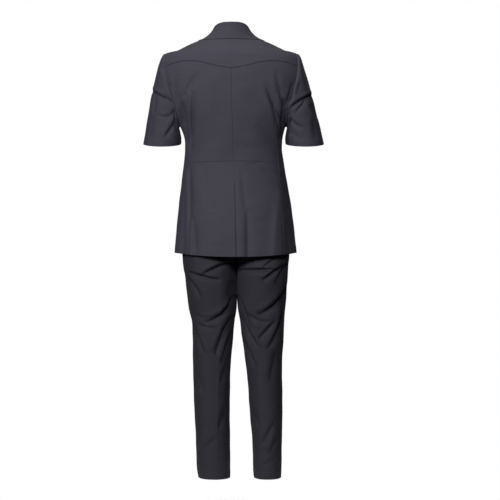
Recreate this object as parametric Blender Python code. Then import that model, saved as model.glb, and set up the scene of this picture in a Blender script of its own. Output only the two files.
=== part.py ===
"""A men's safari suit, worn by nobody: a short-sleeved jacket over trousers, each cut piece a cloth solid.

Metres, +Z up. The suit faces -Y and the wearer's left is +X. The origin is at the base of the neck,
where the jacket hangs on the shoulders. Cloth is a wall of even thickness about a middle surface that a
function gives, so that the rims of two pieces are parallel where they are sewn.
"""

import math
from collections import namedtuple

import bpy
import numpy as np

CLOTH = 0.0015  # thickness of every panel
SEAM = 0.0003  # gap between two pieces that are sewn together
LAYER = CLOTH + SEAM  # from the middle of one layer to the middle of the next
HALF_GAP = SEAM / 2

# The jacket's middle surface, hem to neck: heights at its sides, back and front, half its width, its depth
# to the back and to the front of the shoulder line, and how square the outline is (2 is an ellipse).
Ring = namedtuple("Ring", "side_z back_z front_z half_width back front square")
JACKET = [
    Ring(-0.702, -0.715, -0.722, 0.2007, 0.138, 0.135, 2.30),  # hem
    Ring(-0.620, -0.626, -0.628, 0.1938, 0.134, 0.129, 2.30),
    Ring(-0.540, -0.543, -0.543, 0.1846, 0.124, 0.121, 2.30),
    Ring(-0.475, -0.474, -0.475, 0.1750, 0.112, 0.116, 2.30),
    Ring(-0.412, -0.406, -0.410, 0.1650, 0.103, 0.113, 2.30),  # waist seam
    Ring(-0.348, -0.345, -0.346, 0.1590, 0.106, 0.116, 2.35),
    Ring(-0.285, -0.283, -0.284, 0.1740, 0.113, 0.119, 2.40),  # under the arm
    Ring(-0.230, -0.228, -0.232, 0.2060, 0.119, 0.119, 2.40),
    Ring(-0.170, -0.168, -0.180, 0.2320, 0.121, 0.115, 2.40),
    Ring(-0.112, -0.110, -0.136, 0.2450, 0.115, 0.106, 2.40),
    Ring(-0.070, -0.066, -0.108, 0.2400, 0.103, 0.097, 2.40),
    Ring(-0.049, -0.042, -0.092, 0.2200, 0.090, 0.090, 2.30),  # point of the shoulder
    Ring(-0.041, -0.029, -0.085, 0.1870, 0.080, 0.086, 2.30),
    Ring(-0.020, -0.018, -0.081, 0.1440, 0.072, 0.083, 2.20),
    Ring(-0.005, -0.009, -0.078, 0.1080, 0.065, 0.080, 2.10),
    Ring(0.0035, -0.002, -0.075, 0.0760, 0.057, 0.075, 2.00),  # neck seam
]
HEM, WAIST, NECK = 0, 4, 15  # row numbers of the jacket's seams

Across = namedtuple("Across", "z x")
# How far the suit leans to the wearer's right as it goes down.
LEAN = [
    Across(-1.44, -0.0312), Across(-1.35, -0.0288), Across(-1.22, -0.0242), Across(-1.10, -0.0195),
    Across(-0.97, -0.0164), Across(-0.87, -0.0150), Across(-0.71, -0.0112), Across(-0.54, -0.0084),
    Across(-0.41, -0.0046), Across(-0.30, -0.0020), Across(-0.20, 0.0020), Across(-0.10, 0.0035),
    Across(-0.02, 0.0045), Across(0.06, 0.0030),
]
# The armhole seam, from the middle: it slants in under the arm.
ARMHOLE = [
    Across(-0.300, 0.172), Across(-0.285, 0.1735), Across(-0.235, 0.183), Across(-0.200, 0.194),
    Across(-0.150, 0.207), Across(-0.095, 0.216), Across(-0.050, 0.2145), Across(-0.030, 0.212),
]
# The side-back seam, from the hem up to where it curves out into the armhole.
SIDE_SEAM = [
    Across(-0.730, 0.157), Across(-0.620, 0.153), Across(-0.475, 0.1475), Across(-0.410, 0.143),
    Across(-0.330, 0.138), Across(-0.260, 0.136), Across(-0.215, 0.140), Across(-0.185, 0.152),
    Across(-0.165, 0.178), Across(-0.150, 0.213), Across(-0.140, 0.240),
]
SIDE_TIP = 0.04  # the side's narrow top stops this part of a row short of that seam's end
# The pointed back yoke's seam, by its share of the way out from the middle to the armhole.
Yoke = namedtuple("Yoke", "share z")
YOKE_SEAM = [
    Yoke(0.0, -0.104), Yoke(0.14, -0.0965), Yoke(0.28, -0.0860), Yoke(0.50, -0.0795),
    Yoke(0.75, -0.0840), Yoke(1.0, -0.0950),
]

# Sleeve: the cuff's middle from the suit's middle, its half sizes, and how far its back rim drops.
CUFF = np.array([0.2365, -0.026, -0.3410])
CUFF_ACROSS, CUFF_DEEP, CUFF_DROP = 0.0625, 0.066, math.radians(12)
ARMHOLE_OUT = np.array([0.973, 0.0, -0.231])  # the way out of the left armhole
ARM_DOWN = np.array([0.20, -0.14, -0.97])  # the way that the cloth runs at the cuff
SLEEVE_START = 0.004  # straight stretch beyond the armhole seam
SLEEVE_SEAM = 0.02  # the same stretch in the sleeve's own measure, 0 to 1 from the armhole to the cuff
SLEEVE_ROPE = 0.22  # how far the head carries on outwards, as a share of the sleeve's length

# Collar: its fold, over the stand's top edge.
FOLD_HALF_WIDTH, FOLD_BACK, FOLD_FRONT = 0.0555, 0.050, 0.068
FOLD_SIDE_Z, FOLD_BACK_Z, FOLD_FRONT_Z = 0.0405, 0.0530, -0.040
STAND_CLEAR = 0.0012  # the stand rises just inside the neck seam, and a layer further in at the front
COLLAR_END = math.radians(-84)  # where the collar stops at the front
Leaf = namedtuple("Leaf", "turn row angle sag")
# The fall's lower edge, from the middle of the back (0) to the collar's point (1): the jacket row and the
# angle that it lies over, and how far the fall hollows above it.
COLLAR_EDGE = [
    Leaf(0.0, 14.70, 90, 0.0010), Leaf(0.25, 14.30, 48, 0.0030), Leaf(0.50, 13.95, 0, 0.0070),
    Leaf(0.70, 13.20, -36, 0.0060), Leaf(0.88, 11.60, -66, 0.0030), Leaf(1.0, 10.30, -78, 0.0010),
]
COLLAR_CLEAR = 0.0045  # the fall's lower edge over the cloth below it

# Fronts: the left one laps over the right one, each to this far beyond the middle.
LAP = 0.020
LAP_FLAT, LAP_EASE = 0.022, 0.050  # the lap is flat to here, and has eased away by here
LAP_LIFT = (CLOTH + 0.0008) / 2  # each front's distance from the middle surface where they lap
BUTTON_Z = [-0.135, -0.229, -0.323, -0.417, -0.511]
BUTTON_RADIUS, BUTTON_THICK = 0.010, 0.003
SMALL_BUTTON_RADIUS = 0.008
BUTTON_CLEAR = 0.0005  # a button's foot over the cloth

# Back vent, left over right, below this jacket row.
VENT_ROW = 3.0
UNDERLAP = 0.030
UNDERLAP_DROP = CLOTH + 0.0005
UNDERLAP_EASE = 0.012

# Trousers: the ring round both hips, then a ring round each leg.
Hip = namedtuple("Hip", "z half_width back front")
HIPS = [
    Hip(-0.430, 0.1490, 0.092, 0.100), Hip(-0.480, 0.1540, 0.098, 0.102), Hip(-0.560, 0.1680, 0.112, 0.105),
    Hip(-0.640, 0.1745, 0.120, 0.106), Hip(-0.710, 0.1760, 0.119, 0.104), Hip(-0.790, 0.1700, 0.110, 0.100),
]
HIP_SQUARE = 2.3
# Each leg: its inner and outer edges from the middle, its depth back and front, and its middle's place.
Leg = namedtuple("Leg", "z inner left_outer right_outer back front middle_y")
LEG = [
    Leg(-0.640, 0.0009, 0.1745, 0.1745, 0.118, 0.098, 0.000),
    Leg(-0.710, 0.0009, 0.1758, 0.1762, 0.114, 0.096, 0.000),
    Leg(-0.770, 0.0009, 0.1715, 0.1695, 0.106, 0.092, 0.000),
    Leg(-0.825, 0.0009, 0.1660, 0.1645, 0.098, 0.090, 0.000),
    Leg(-0.875, 0.0016, 0.1600, 0.1600, 0.092, 0.086, 0.000),
    Leg(-0.925, 0.0085, 0.1505, 0.1550, 0.087, 0.082, 0.000),
    Leg(-0.970, 0.0135, 0.1490, 0.1520, 0.083, 0.078, 0.001),
    Leg(-1.060, 0.0240, 0.1485, 0.1455, 0.076, 0.072, 0.004),
    Leg(-1.110, 0.0285, 0.1485, 0.1430, 0.073, 0.070, 0.008),
    Leg(-1.210, 0.0325, 0.1490, 0.1398, 0.070, 0.066, 0.014),
    Leg(-1.350, 0.0375, 0.1475, 0.1330, 0.067, 0.062, 0.014),
    Leg(-1.415, 0.0385, 0.1460, 0.1300, 0.066, 0.061, 0.010),
    Leg(-1.441, 0.0400, 0.1430, 0.1275, 0.065, 0.060, 0.008),
]
LEG_SQUARE = 2.15
CROTCH_TOP, CROTCH_END = -0.635, -0.775  # between these heights the hips part into two legs
BAND_TOP, BAND_END = -0.440, -0.482
TROUSER_HEM = -1.440
FLY_END = -0.640

TINY = 1e-4  # step in a surface's two numbers when its slope is measured


def smooth(table, at, key=None):
    """A table's columns at any row or key: a cubic curve through its rows, sloped by their neighbours."""
    values = np.array(table, dtype=float)
    knots = np.arange(len(values), dtype=float) if key is None else values[:, key]
    if knots[0] > knots[-1]:
        values, knots = values[::-1], knots[::-1]
    at = np.asarray(at, dtype=float)
    if key is not None:
        at = np.clip(at, knots[0], knots[-1])
    slopes = np.gradient(values, knots, axis=0)
    low = np.clip(np.searchsorted(knots, at) - 1, 0, len(knots) - 2)
    step = (knots[low + 1] - knots[low])[..., None]
    u = (at - knots[low])[..., None] / step
    a, b = values[low], values[low + 1]
    return (a * (1 + 2 * u) * (1 - u) ** 2 + b * u * u * (3 - 2 * u)
            + step * (slopes[low] * u * (1 - u) ** 2 - slopes[low + 1] * u * u * (1 - u)))


def ease(start, end, x):
    """0 before start, 1 after end, and a smooth step between."""
    u = np.clip((x - start) / (end - start), 0.0, 1.0)
    return u * u * (3 - 2 * u)


def solve(function, low, high):
    """Where function, positive at low and negative at high, is zero: halves the stretch until it is found."""
    low, high = np.broadcast_arrays(np.asarray(low, dtype=float), np.asarray(high, dtype=float))
    low, high = low.copy(), high.copy()
    for _ in range(45):
        middle = (low + high) / 2
        positive = function(middle) > 0
        low, high = np.where(positive, middle, low), np.where(positive, high, middle)
    return (low + high) / 2


def power(value, exponent):
    """value to a power, with its sign kept."""
    return np.sign(value) * np.abs(value) ** exponent


def lean(z):
    return smooth(LEAN, z, key=0)[..., 1]


def armhole_x(z):
    return smooth(ARMHOLE, z, key=0)[..., 1]


# Jacket body


def jacket_upright(row, angle):
    """The jacket's middle surface before it leans. Angle 0 is the wearer's left, 90 degrees the middle back."""
    side_z, back_z, front_z, half_width, back, front, square = np.moveaxis(smooth(JACKET, row), -1, 0)
    along, across = np.sin(angle), np.cos(angle)
    behind = along > 0
    x = half_width * power(across, 2 / square)
    y = np.where(behind, back, front) * power(along, 2 / square)
    z = side_z + (np.where(behind, back_z, front_z) - side_z) * along ** 2
    return np.stack([x, y, z], axis=-1)


def jacket(row, angle):
    point = jacket_upright(row, angle)
    point[..., 0] += lean(point[..., 2])
    return point


def mirrored(angle, side):
    """The same place on the wearer's other side, where side is -1."""
    return angle if side > 0 else math.pi - angle


def angle_at(row, x, face):
    """The angle where the jacket is x from its middle, on its back (face 1) or its front (face -1)."""
    ring = smooth(JACKET, row)
    return face * np.arccos(power(x / ring[..., 3], ring[..., 6] / 2))


def width_beyond_armhole(row):
    point = jacket_upright(row, np.zeros(np.shape(row)))
    return point[..., 0] - armhole_x(point[..., 2])


UNDERARM_ROW = float(solve(lambda row: -width_beyond_armhole(row), 4.5, 8.0))
SHOULDER_ROW = float(solve(width_beyond_armhole, 9.0, 13.0))


def armhole_angle(row, face):
    """The angle at which a row of the jacket ends at the left armhole, or 0 where it misses it."""
    row = np.asarray(row, dtype=float)

    def beyond(angle):
        point = jacket_upright(row, face * angle)
        return point[..., 0] - armhole_x(point[..., 2])

    found = solve(beyond, np.zeros(row.shape), np.full(row.shape, math.pi / 2))
    return face * np.where((row > UNDERARM_ROW) & (row < SHOULDER_ROW), found, 0.0)


def side_seam_angle(row):
    row = np.asarray(row, dtype=float)

    def beyond(angle):
        point = jacket_upright(row, angle)
        return point[..., 0] - smooth(SIDE_SEAM, point[..., 2], key=0)[..., 1]

    return solve(beyond, np.zeros(row.shape), np.full(row.shape, math.pi / 2))


def side_beyond_armhole(row):
    return side_seam_angle(row) - armhole_angle(row, 1)


SEAM_TOP_ROW = float(solve(side_beyond_armhole, UNDERARM_ROW + 0.1, 10.0))


def back_angle(row, share):
    """Share 0 is the middle back. Share 1 is the side-back seam, then the armhole, then the shoulder seam."""
    edge = np.maximum(armhole_angle(row, 1), np.where(row < SEAM_TOP_ROW, side_seam_angle(row), 0.0))
    return math.pi / 2 + (edge - math.pi / 2) * share


def yoke_row(share):
    """The row of the yoke's seam at each share of the way out."""
    share = np.asarray(share, dtype=float)
    height = smooth(YOKE_SEAM, share, key=0)[..., 1]

    def below(row):
        return height - jacket_upright(row, back_angle(row, share))[..., 2]

    return solve(below, np.full(share.shape, 8.0), np.full(share.shape, 11.0))


def stretch(start, end, pieces, crowd=0):
    """Even steps from start to end, or steps crowded towards the start (-1) or the end (1)."""
    u = np.linspace(0, 1, pieces + 1)
    if crowd < 0:
        u = u ** 1.7
    if crowd > 0:
        u = 1 - (1 - u) ** 1.7
    return start + (end - start) * u


def joined(*stretches):
    """One list of rows from several that meet end to end."""
    return np.concatenate([stretches[0]] + [rows[1:] for rows in stretches[1:]])


YOKE_EDGE_ROW = float(yoke_row(1.0))
SKIRT_ROWS = stretch(HEM, WAIST, 7)
WAIST_ROWS = stretch(WAIST, UNDERARM_ROW, 4)
UNDERARM_ROWS = stretch(UNDERARM_ROW, SEAM_TOP_ROW - SIDE_TIP, 5, crowd=-1)
BLADE_ROWS = stretch(SEAM_TOP_ROW, YOKE_EDGE_ROW, 3)
BLADE_SEAM_ROWS = joined(UNDERARM_ROWS, [UNDERARM_ROWS[-1], SEAM_TOP_ROW])
YOKE_ROWS = stretch(YOKE_EDGE_ROW, SHOULDER_ROW, 5, crowd=1)
ROOF_ROWS = stretch(SHOULDER_ROW, NECK, 5)
CHEST_ROWS = UNDERARM_ROW + (SHOULDER_ROW - UNDERARM_ROW) * (1 - np.cos(np.linspace(0, math.pi, 9))) / 2
BACK_SHARES = np.linspace(0, 1, 8)


def moved(surface, p, q, along_p=0.0, along_q=0.0):
    """A place's two numbers after it moves these distances over the surface, in metres."""
    speed_p = np.linalg.norm(surface(p + TINY, q) - surface(p - TINY, q), axis=-1) / (2 * TINY)
    speed_q = np.linalg.norm(surface(p, q + TINY) - surface(p, q - TINY), axis=-1) / (2 * TINY)
    return p + along_p / speed_p, q + along_q / speed_q


def seamed(p, q, surface, first_row=0.0, last_row=0.0, first_column=0.0, last_column=0.0):
    """A grid of places with its edges drawn in for their seams, by the distance given for each edge."""
    p, q = np.array(p), np.array(q)
    turn = np.sign(q[0, -1] - q[0, 0])
    p[0] = moved(surface, p[0], q[0], along_p=first_row)[0]
    p[-1] = moved(surface, p[-1], q[-1], along_p=-last_row)[0]
    q[:, 0] = moved(surface, p[:, 0], q[:, 0], along_q=turn * first_column)[1]
    q[:, -1] = moved(surface, p[:, -1], q[:, -1], along_q=-turn * last_column)[1]
    return p, q


def across_surface(surface, p, q):
    """The unit vectors square to a surface, from its slopes."""
    across = np.cross(surface(p + TINY, q) - surface(p - TINY, q), surface(p, q + TINY) - surface(p, q - TINY))
    return across / np.linalg.norm(across, axis=-1, keepdims=True)


TURNED = (0, 3, 2, 1)  # a four-sided face's corners the other way round, cut along the same diagonal


def wall(name, finish, surface, grids, axis, offset=0.0, place=None, thickness=CLOTH):
    """A closed cloth wall about a surface: two faces a thickness apart over all the grids, and the rim between.

    Each grid is a pair of arrays of the surface's two numbers. The outer face looks away from axis, (x, y).
    Where place is given, it puts the middle of the cloth, and the surface says only which way it faces.
    """
    points = [(place or surface)(p, q) for p, q in grids]
    ways = [across_surface(surface, p, q) for p, q in grids]
    facing = sum(float(((point[..., :2] - axis) * way[..., :2]).sum()) for point, way in zip(points, ways))
    places, outer, inner, quads = {}, [], [], []
    for (p, q), point, way in zip(grids, points, ways):
        across = way * math.copysign(1.0, facing)
        lift = offset(p, q) if callable(offset) else np.full(p.shape, offset)
        keys = np.round(point * 1e6).astype(int)
        index = np.empty(point.shape[:2], dtype=int)
        for spot in np.ndindex(index.shape):
            index[spot] = places.setdefault(tuple(keys[spot]), len(places))
            if index[spot] == len(outer):
                outer.append(point[spot] + across[spot] * (lift[spot] + thickness / 2))
                inner.append(point[spot] + across[spot] * (lift[spot] - thickness / 2))
        corners = [index[:-1, :-1], index[1:, :-1], index[1:, 1:], index[:-1, 1:]]
        if facing * (p[-1, 0] - p[0, 0]) * (q[0, -1] - q[0, 0]) < 0:
            corners = [corners[i] for i in TURNED]
        quads += np.stack(corners, axis=-1).reshape(-1, 4).tolist()
    faces = [list(dict.fromkeys(quad)) for quad in quads]
    faces = [face for face in faces if len(face) > 2]
    edges = {(face[i - 1], face[i]) for face in faces for i in range(len(face))}
    count = len(outer)
    rim = [[b, a, a + count, b + count] for a, b in edges if (b, a) not in edges]
    under = [[face[0] + count] + [corner + count for corner in face[:0:-1]] for face in faces]
    mesh = bpy.data.meshes.new(name)
    mesh.from_pydata(outer + inner, [], faces + under + sorted(rim))
    mesh.shade_smooth()
    mesh.set_sharp_from_angle(angle=math.radians(40))
    return placed(name, mesh, finish)


def placed(name, mesh, finish):
    """A mesh as one named piece of the suit."""
    piece = bpy.data.objects.new(name, mesh)
    mesh.materials.clear()
    mesh.materials.append(finish)
    bpy.data.collections[SUIT].objects.link(piece)
    return piece


def material(name, colour, roughness):
    made = bpy.data.materials.new(name)
    made.use_nodes = True
    shader = made.node_tree.nodes["Principled BSDF"]
    shader.inputs["Base Color"].default_value = (*colour, 1)
    shader.inputs["Roughness"].default_value = roughness
    shader.inputs["Metallic"].default_value = 0.0
    return made


def spread(rows, columns):
    """Two arrays over a grid: each row's value, and each column's."""
    return np.meshgrid(rows, columns, indexing="ij")


# The pieces of the jacket's back


def back_panel(name, side, finish):
    """From the waist seam to the yoke, middle back to side-back seam and armhole."""
    share = np.broadcast_to(BACK_SHARES, (len(BLADE_ROWS), len(BACK_SHARES)))
    climb = (BLADE_ROWS - SEAM_TOP_ROW) / (YOKE_EDGE_ROW - SEAM_TOP_ROW)
    blade = SEAM_TOP_ROW + (yoke_row(BACK_SHARES) - SEAM_TOP_ROW) * climb[:, None]
    low_rows, low_share = spread(joined(WAIST_ROWS, BLADE_SEAM_ROWS), BACK_SHARES)
    rows = np.concatenate([low_rows, blade[1:]])
    share = np.concatenate([low_share, share[1:]])
    angle = back_angle(rows, share)
    below = rows[:, -1] <= SEAM_TOP_ROW
    grid = seamed(rows, angle, jacket, HALF_GAP, HALF_GAP, HALF_GAP, np.where(below, HALF_GAP, 0.0))
    return wall(name, finish, jacket, [(grid[0], mirrored(grid[1], side))], (0, 0))


def yoke(name, finish):
    """Both halves at once, from the pointed seam over the shoulders to the neck."""
    shares = np.concatenate([-BACK_SHARES[:0:-1], BACK_SHARES])
    size = np.abs(shares)
    climb = (YOKE_ROWS - YOKE_EDGE_ROW) / (SHOULDER_ROW - YOKE_EDGE_ROW)
    low = yoke_row(size) + (SHOULDER_ROW - yoke_row(size)) * climb[:, None]
    roof = np.broadcast_to(ROOF_ROWS[1:, None], (len(ROOF_ROWS) - 1, len(shares)))
    rows = np.concatenate([low, roof])
    angle = back_angle(rows, np.broadcast_to(size, rows.shape))
    on_roof = rows[:, 0] > SHOULDER_ROW - TINY
    angle = np.where(shares < 0, math.pi - angle, angle)
    edge = np.where(on_roof, HALF_GAP, 0.0)
    return wall(name, finish, jacket, [seamed(rows, angle, jacket, HALF_GAP, 0.0, edge, edge)], (0, 0))


def underlap_offset(row, angle):
    """The right skirt steps in under the left one, near the vent."""
    x = jacket_upright(row, angle)[..., 0]
    return -UNDERLAP_DROP * (1 - ease(0.002, UNDERLAP_EASE, -x)) * (row < VENT_ROW)


def back_skirt(name, side, finish):
    """Below the waist seam. The right one runs on under the left one, below the top of the vent."""
    lap = angle_at(SKIRT_ROWS, UNDERLAP, 1)
    side_seam = side_seam_angle(SKIRT_ROWS)
    beyond_lap = lap[:, None] + (side_seam - lap)[:, None] * np.linspace(0, 1, 7)
    angle = np.column_stack([np.full(len(lap), math.pi / 2), angle_at(SKIRT_ROWS, UNDERLAP_EASE, 1), beyond_lap])
    rows = np.broadcast_to(SKIRT_ROWS[:, None], angle.shape)
    grid = seamed(rows, angle, jacket, 0.0, HALF_GAP, HALF_GAP, HALF_GAP)
    grids = [(grid[0], mirrored(grid[1], side))]
    if side > 0:
        return wall(name, finish, jacket, grids, (0, 0))
    vent_rows = SKIRT_ROWS[SKIRT_ROWS < VENT_ROW]
    edge = mirrored(grid[1][: len(vent_rows), 0], side)
    lap_angle = np.stack([edge, *(angle_at(vent_rows, x, 1) for x in (UNDERLAP_EASE, UNDERLAP))], axis=1)
    grids.append((np.broadcast_to(vent_rows[:, None], lap_angle.shape), lap_angle))
    return wall(name, finish, jacket, grids, (0, 0), offset=underlap_offset)


# Fronts, with what lies on them


def lap_offset(side):
    """The left front is lifted and the right one lowered, by half a layer each, where they lap."""

    def offset(row, angle):
        x = np.abs(jacket_upright(row, angle)[..., 0])
        front = np.sin(angle) < 0
        return side * LAP_LIFT * (1 - ease(LAP_FLAT, LAP_EASE, x)) * front

    return offset


def lifted(offset, amount):
    return lambda row, angle: offset(row, angle) + amount


def front_grid():
    """The left front from hem to neck, and from its side or armhole to its edge at the middle."""
    rows = joined(SKIRT_ROWS, WAIST_ROWS, CHEST_ROWS, ROOF_ROWS)
    start = armhole_angle(rows, -1)
    start = np.where(rows > SHOULDER_ROW - TINY, moved(jacket, rows, start, along_q=-HALF_GAP)[1], start)
    eased = angle_at(rows, LAP_EASE, -1)
    shares = np.linspace(0, 1, 6)
    angle = start[:, None] + (eased - start)[:, None] * shares
    edges = np.stack([angle_at(rows, x, -1) for x in (LAP_FLAT, 0.0, -LAP)], axis=1)
    angle = np.concatenate([angle, edges], axis=1)
    return np.broadcast_to(rows[:, None], angle.shape), angle


def side_grid():
    """The same piece where it goes on round the side, to the side-back seam and up to the armhole."""
    rows = joined(SKIRT_ROWS, WAIST_ROWS, UNDERARM_ROWS)
    seam = moved(jacket, rows, side_seam_angle(rows), along_q=-HALF_GAP)[1]
    edge = armhole_angle(rows, 1)
    angle = seam[:, None] + (edge - seam)[:, None] * np.linspace(0, 1, 4)
    return np.broadcast_to(rows[:, None], angle.shape), angle


def front_panel(name, side, finish):
    grids = [(rows, mirrored(angle, side)) for rows, angle in (side_grid(), front_grid())]
    return wall(name, finish, jacket, grids, (0, 0), offset=lap_offset(side))


# Blocks of the front's grid, as rows and columns, that the pockets and their flaps lie over.
HIP_POCKET = (slice(1, 6), slice(1, 6))
HIP_FLAP = (slice(4, 6), slice(1, 6))
CHEST_POCKET = (slice(9, 15), slice(1, 6))
CHEST_FLAP = (slice(13, 15), slice(1, 6))


def on_front(name, side, block, layers, finish):
    """A block of a front's own points, moved out by whole layers."""
    rows, angle = front_grid()
    grid = (rows[block], mirrored(angle[block], side))
    return wall(name, finish, jacket, [grid], (0, 0), offset=lifted(lap_offset(side), layers * LAYER))


# Sleeves


def sleeve_surface(side):
    """Down the sleeve (0 armhole seam, 1 cuff), and round it from under the arm by the back (180 is the top)."""

    def surface(down, turn):
        turn = np.mod(turn, 2 * math.pi)
        row = UNDERARM_ROW + (SHOULDER_ROW - UNDERARM_ROW) * (1 - np.cos(turn)) / 2
        angle = np.where(turn < math.pi, armhole_angle(row, 1), armhole_angle(row, -1))
        edge = jacket_upright(row, angle)
        out = np.cross(jacket_upright(row + TINY, angle) - jacket_upright(row - TINY, angle),
                       jacket_upright(row, angle + TINY) - jacket_upright(row, angle - TINY))
        out /= -np.linalg.norm(out, axis=-1, keepdims=True)
        clear = SEAM + CLOTH / 2 * np.maximum(out @ ARMHOLE_OUT, 0.0)
        start = edge + clear[..., None] * ARMHOLE_OUT
        head = start + SLEEVE_START * ARMHOLE_OUT
        deep = CUFF_DEEP * np.sin(turn)
        cuff = CUFF + np.stack([-CUFF_ACROSS * np.cos(turn), deep * math.cos(CUFF_DROP),
                                -deep * math.sin(CUFF_DROP)], axis=-1)
        length = np.linalg.norm(cuff - head, axis=-1, keepdims=True)
        u = np.maximum(down, 0.0)[..., None]
        curve = (head * (1 + 2 * u) * (1 - u) ** 2 + cuff * u * u * (3 - 2 * u)
                 + length * (SLEEVE_ROPE * ARMHOLE_OUT * u * (1 - u) ** 2 - ARM_DOWN * u * u * (1 - u)))
        straight = head + (down / SLEEVE_SEAM * SLEEVE_START)[..., None] * ARMHOLE_OUT
        point = np.where(down[..., None] < 0, straight, curve)
        point[..., 0] = side * point[..., 0] + lean(point[..., 2])
        return point

    return surface


def row_turn(row):
    """How far round the sleeve the armhole's back edge is at a row."""
    return np.arccos(np.clip(1 - 2 * (row - UNDERARM_ROW) / (SHOULDER_ROW - UNDERARM_ROW), -1, 1))


def sleeve(name, side, finish):
    down = np.concatenate([[-SLEEVE_SEAM], [0.0, 0.1, 0.24, 0.42, 0.62, 0.82, 1.0]])
    back = row_turn(joined(BLADE_SEAM_ROWS, BLADE_ROWS, YOKE_ROWS))
    front = 2 * math.pi - row_turn(CHEST_ROWS[::-1])
    turns = joined(back, front)
    return wall(name, finish, sleeve_surface(side), [spread(down, turns)], (side * CUFF[0], CUFF[1]))


# Collar


def collar_turn(turn):
    """The angle round the neck: turn 0 is the middle back, 1 the left end and -1 the right end."""
    return math.pi / 2 + (COLLAR_END - math.pi / 2) * turn


def collar_turns():
    """The turns at which the panels under the collar have their own points, and the collar's two ends."""
    _, angle = front_grid()
    below = np.concatenate([math.pi / 2 * (1 - BACK_SHARES), angle[-1, 1:7]])
    left = np.append((below - math.pi / 2) / (COLLAR_END - math.pi / 2), 1.0)
    return np.concatenate([-left[:0:-1], left])


def neck_edge(angle):
    """The foot of the stand, just inside the neck seam."""
    point = jacket(NECK, angle)
    inwards = jacket(NECK + TINY, angle) - jacket(NECK - TINY, angle)
    clear = STAND_CLEAR + LAYER * ease(0.3, 0.8, -np.sin(angle))
    return point + clear[..., None] * inwards / np.linalg.norm(inwards, axis=-1, keepdims=True)


def fold_line(angle, out=0.0):
    along, across = np.sin(angle), np.cos(angle)
    y = np.where(along > 0, FOLD_BACK + out, FOLD_FRONT + out) * along
    rise = (FOLD_BACK_Z - FOLD_SIDE_Z) * (1 - across ** 4)
    z = FOLD_SIDE_Z + np.where(along > 0, rise, (FOLD_FRONT_Z - FOLD_SIDE_Z) * along ** 2)
    return np.stack([(FOLD_HALF_WIDTH + out) * across + lean(z), y, z], axis=-1)


def stand_surface(up, turn):
    angle = collar_turn(turn)
    foot, fold = neck_edge(angle), fold_line(angle)
    return foot + (fold - foot) * up[..., None]


def fall_surface(down, turn):
    size = np.abs(turn)
    _, row, degrees, sag = np.moveaxis(smooth(COLLAR_EDGE, size, key=0), -1, 0)
    angle = np.radians(degrees)
    angle = np.where(turn < 0, math.pi - angle, angle)
    edge = jacket(row, angle)
    across = np.cross(jacket(row + TINY, angle) - jacket(row - TINY, angle),
                      jacket(row, angle + TINY) - jacket(row, angle - TINY))
    across /= -np.linalg.norm(across, axis=-1, keepdims=True)
    edge = edge + COLLAR_CLEAR * across
    fold = fold_line(collar_turn(turn), out=LAYER)
    inwards = np.stack([-np.cos(angle), -np.sin(angle), -np.ones_like(angle)], axis=-1) / math.sqrt(2)
    hollow = (4 * down * (1 - down) * sag)[..., None]
    return fold + (edge - fold) * down[..., None] + inwards * hollow


# Trousers


def hip_ring(z, angle):
    _, half_width, back, front = np.moveaxis(smooth(HIPS, z, key=0), -1, 0)
    x = half_width * power(np.cos(angle), 2 / HIP_SQUARE)
    y = np.where(np.sin(angle) > 0, back, front) * power(np.sin(angle), 2 / HIP_SQUARE)
    return np.stack([x + lean(z), y, z], axis=-1)


def leg_surface(side, face):
    """One leg's back (face 1) or front (face -1): share 0 is the seat seam and inseam, share 1 the side seam."""

    def surface(z, share):
        _, inner, left_outer, right_outer, back, front, middle_y = np.moveaxis(smooth(LEG, z, key=0), -1, 0)
        outer = left_outer if side > 0 else right_outer
        depth = back if face > 0 else front
        turn = math.pi * (1 - share)
        leg_x = (inner + outer) / 2 + (outer - inner) / 2 * power(np.cos(turn), 2 / LEG_SQUARE)
        leg_y = middle_y + face * depth * power(np.sin(turn), 2 / LEG_SQUARE)
        hip = hip_ring(z, math.pi / 2 * (1 - share) * face)
        parting = ease(CROTCH_TOP, CROTCH_END, z)
        hip_x = hip[..., 0] - lean(z)
        x = hip_x + (leg_x - hip_x) * parting
        y = hip[..., 1] + (leg_y - hip[..., 1]) * parting
        return np.stack([side * x + lean(z), y, z], axis=-1)

    return surface


def clear_leg(side, face):
    """The places of the same cloth, held clear of the other leg's."""
    surface = leg_surface(side, face)

    def held(z, share):
        point = surface(z, share)
        least = HALF_GAP + CLOTH / 2 * ease(CROTCH_TOP, CROTCH_TOP - 0.04, z)
        inside = side * (point[..., 0] - lean(point[..., 2]))
        point[..., 0] += side * np.maximum(least - inside, 0.0)
        return point

    return held


LEG_ROWS = np.array([TROUSER_HEM, -1.415, -1.35, -1.28, -1.21, -1.13, -1.06, -0.98, -0.925, -0.88, -0.83,
                     -0.785, -0.745, -0.71, -0.675, -0.635, -0.56, BAND_END])
LEG_SHARES = np.linspace(0, 1, 7)


def leg_grid(side, face):
    inseam = np.where(LEG_ROWS < CROTCH_TOP, HALF_GAP, 0.0)
    return seamed(*spread(LEG_ROWS, LEG_SHARES), leg_surface(side, face), 0.0, 0.0, inseam, HALF_GAP)


def leg_panel(name, side, face, finish):
    surface, place = leg_surface(side, face), clear_leg(side, face)
    return wall(name, finish, surface, [leg_grid(side, face)], (side * 0.08, 0), place=place)


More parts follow.
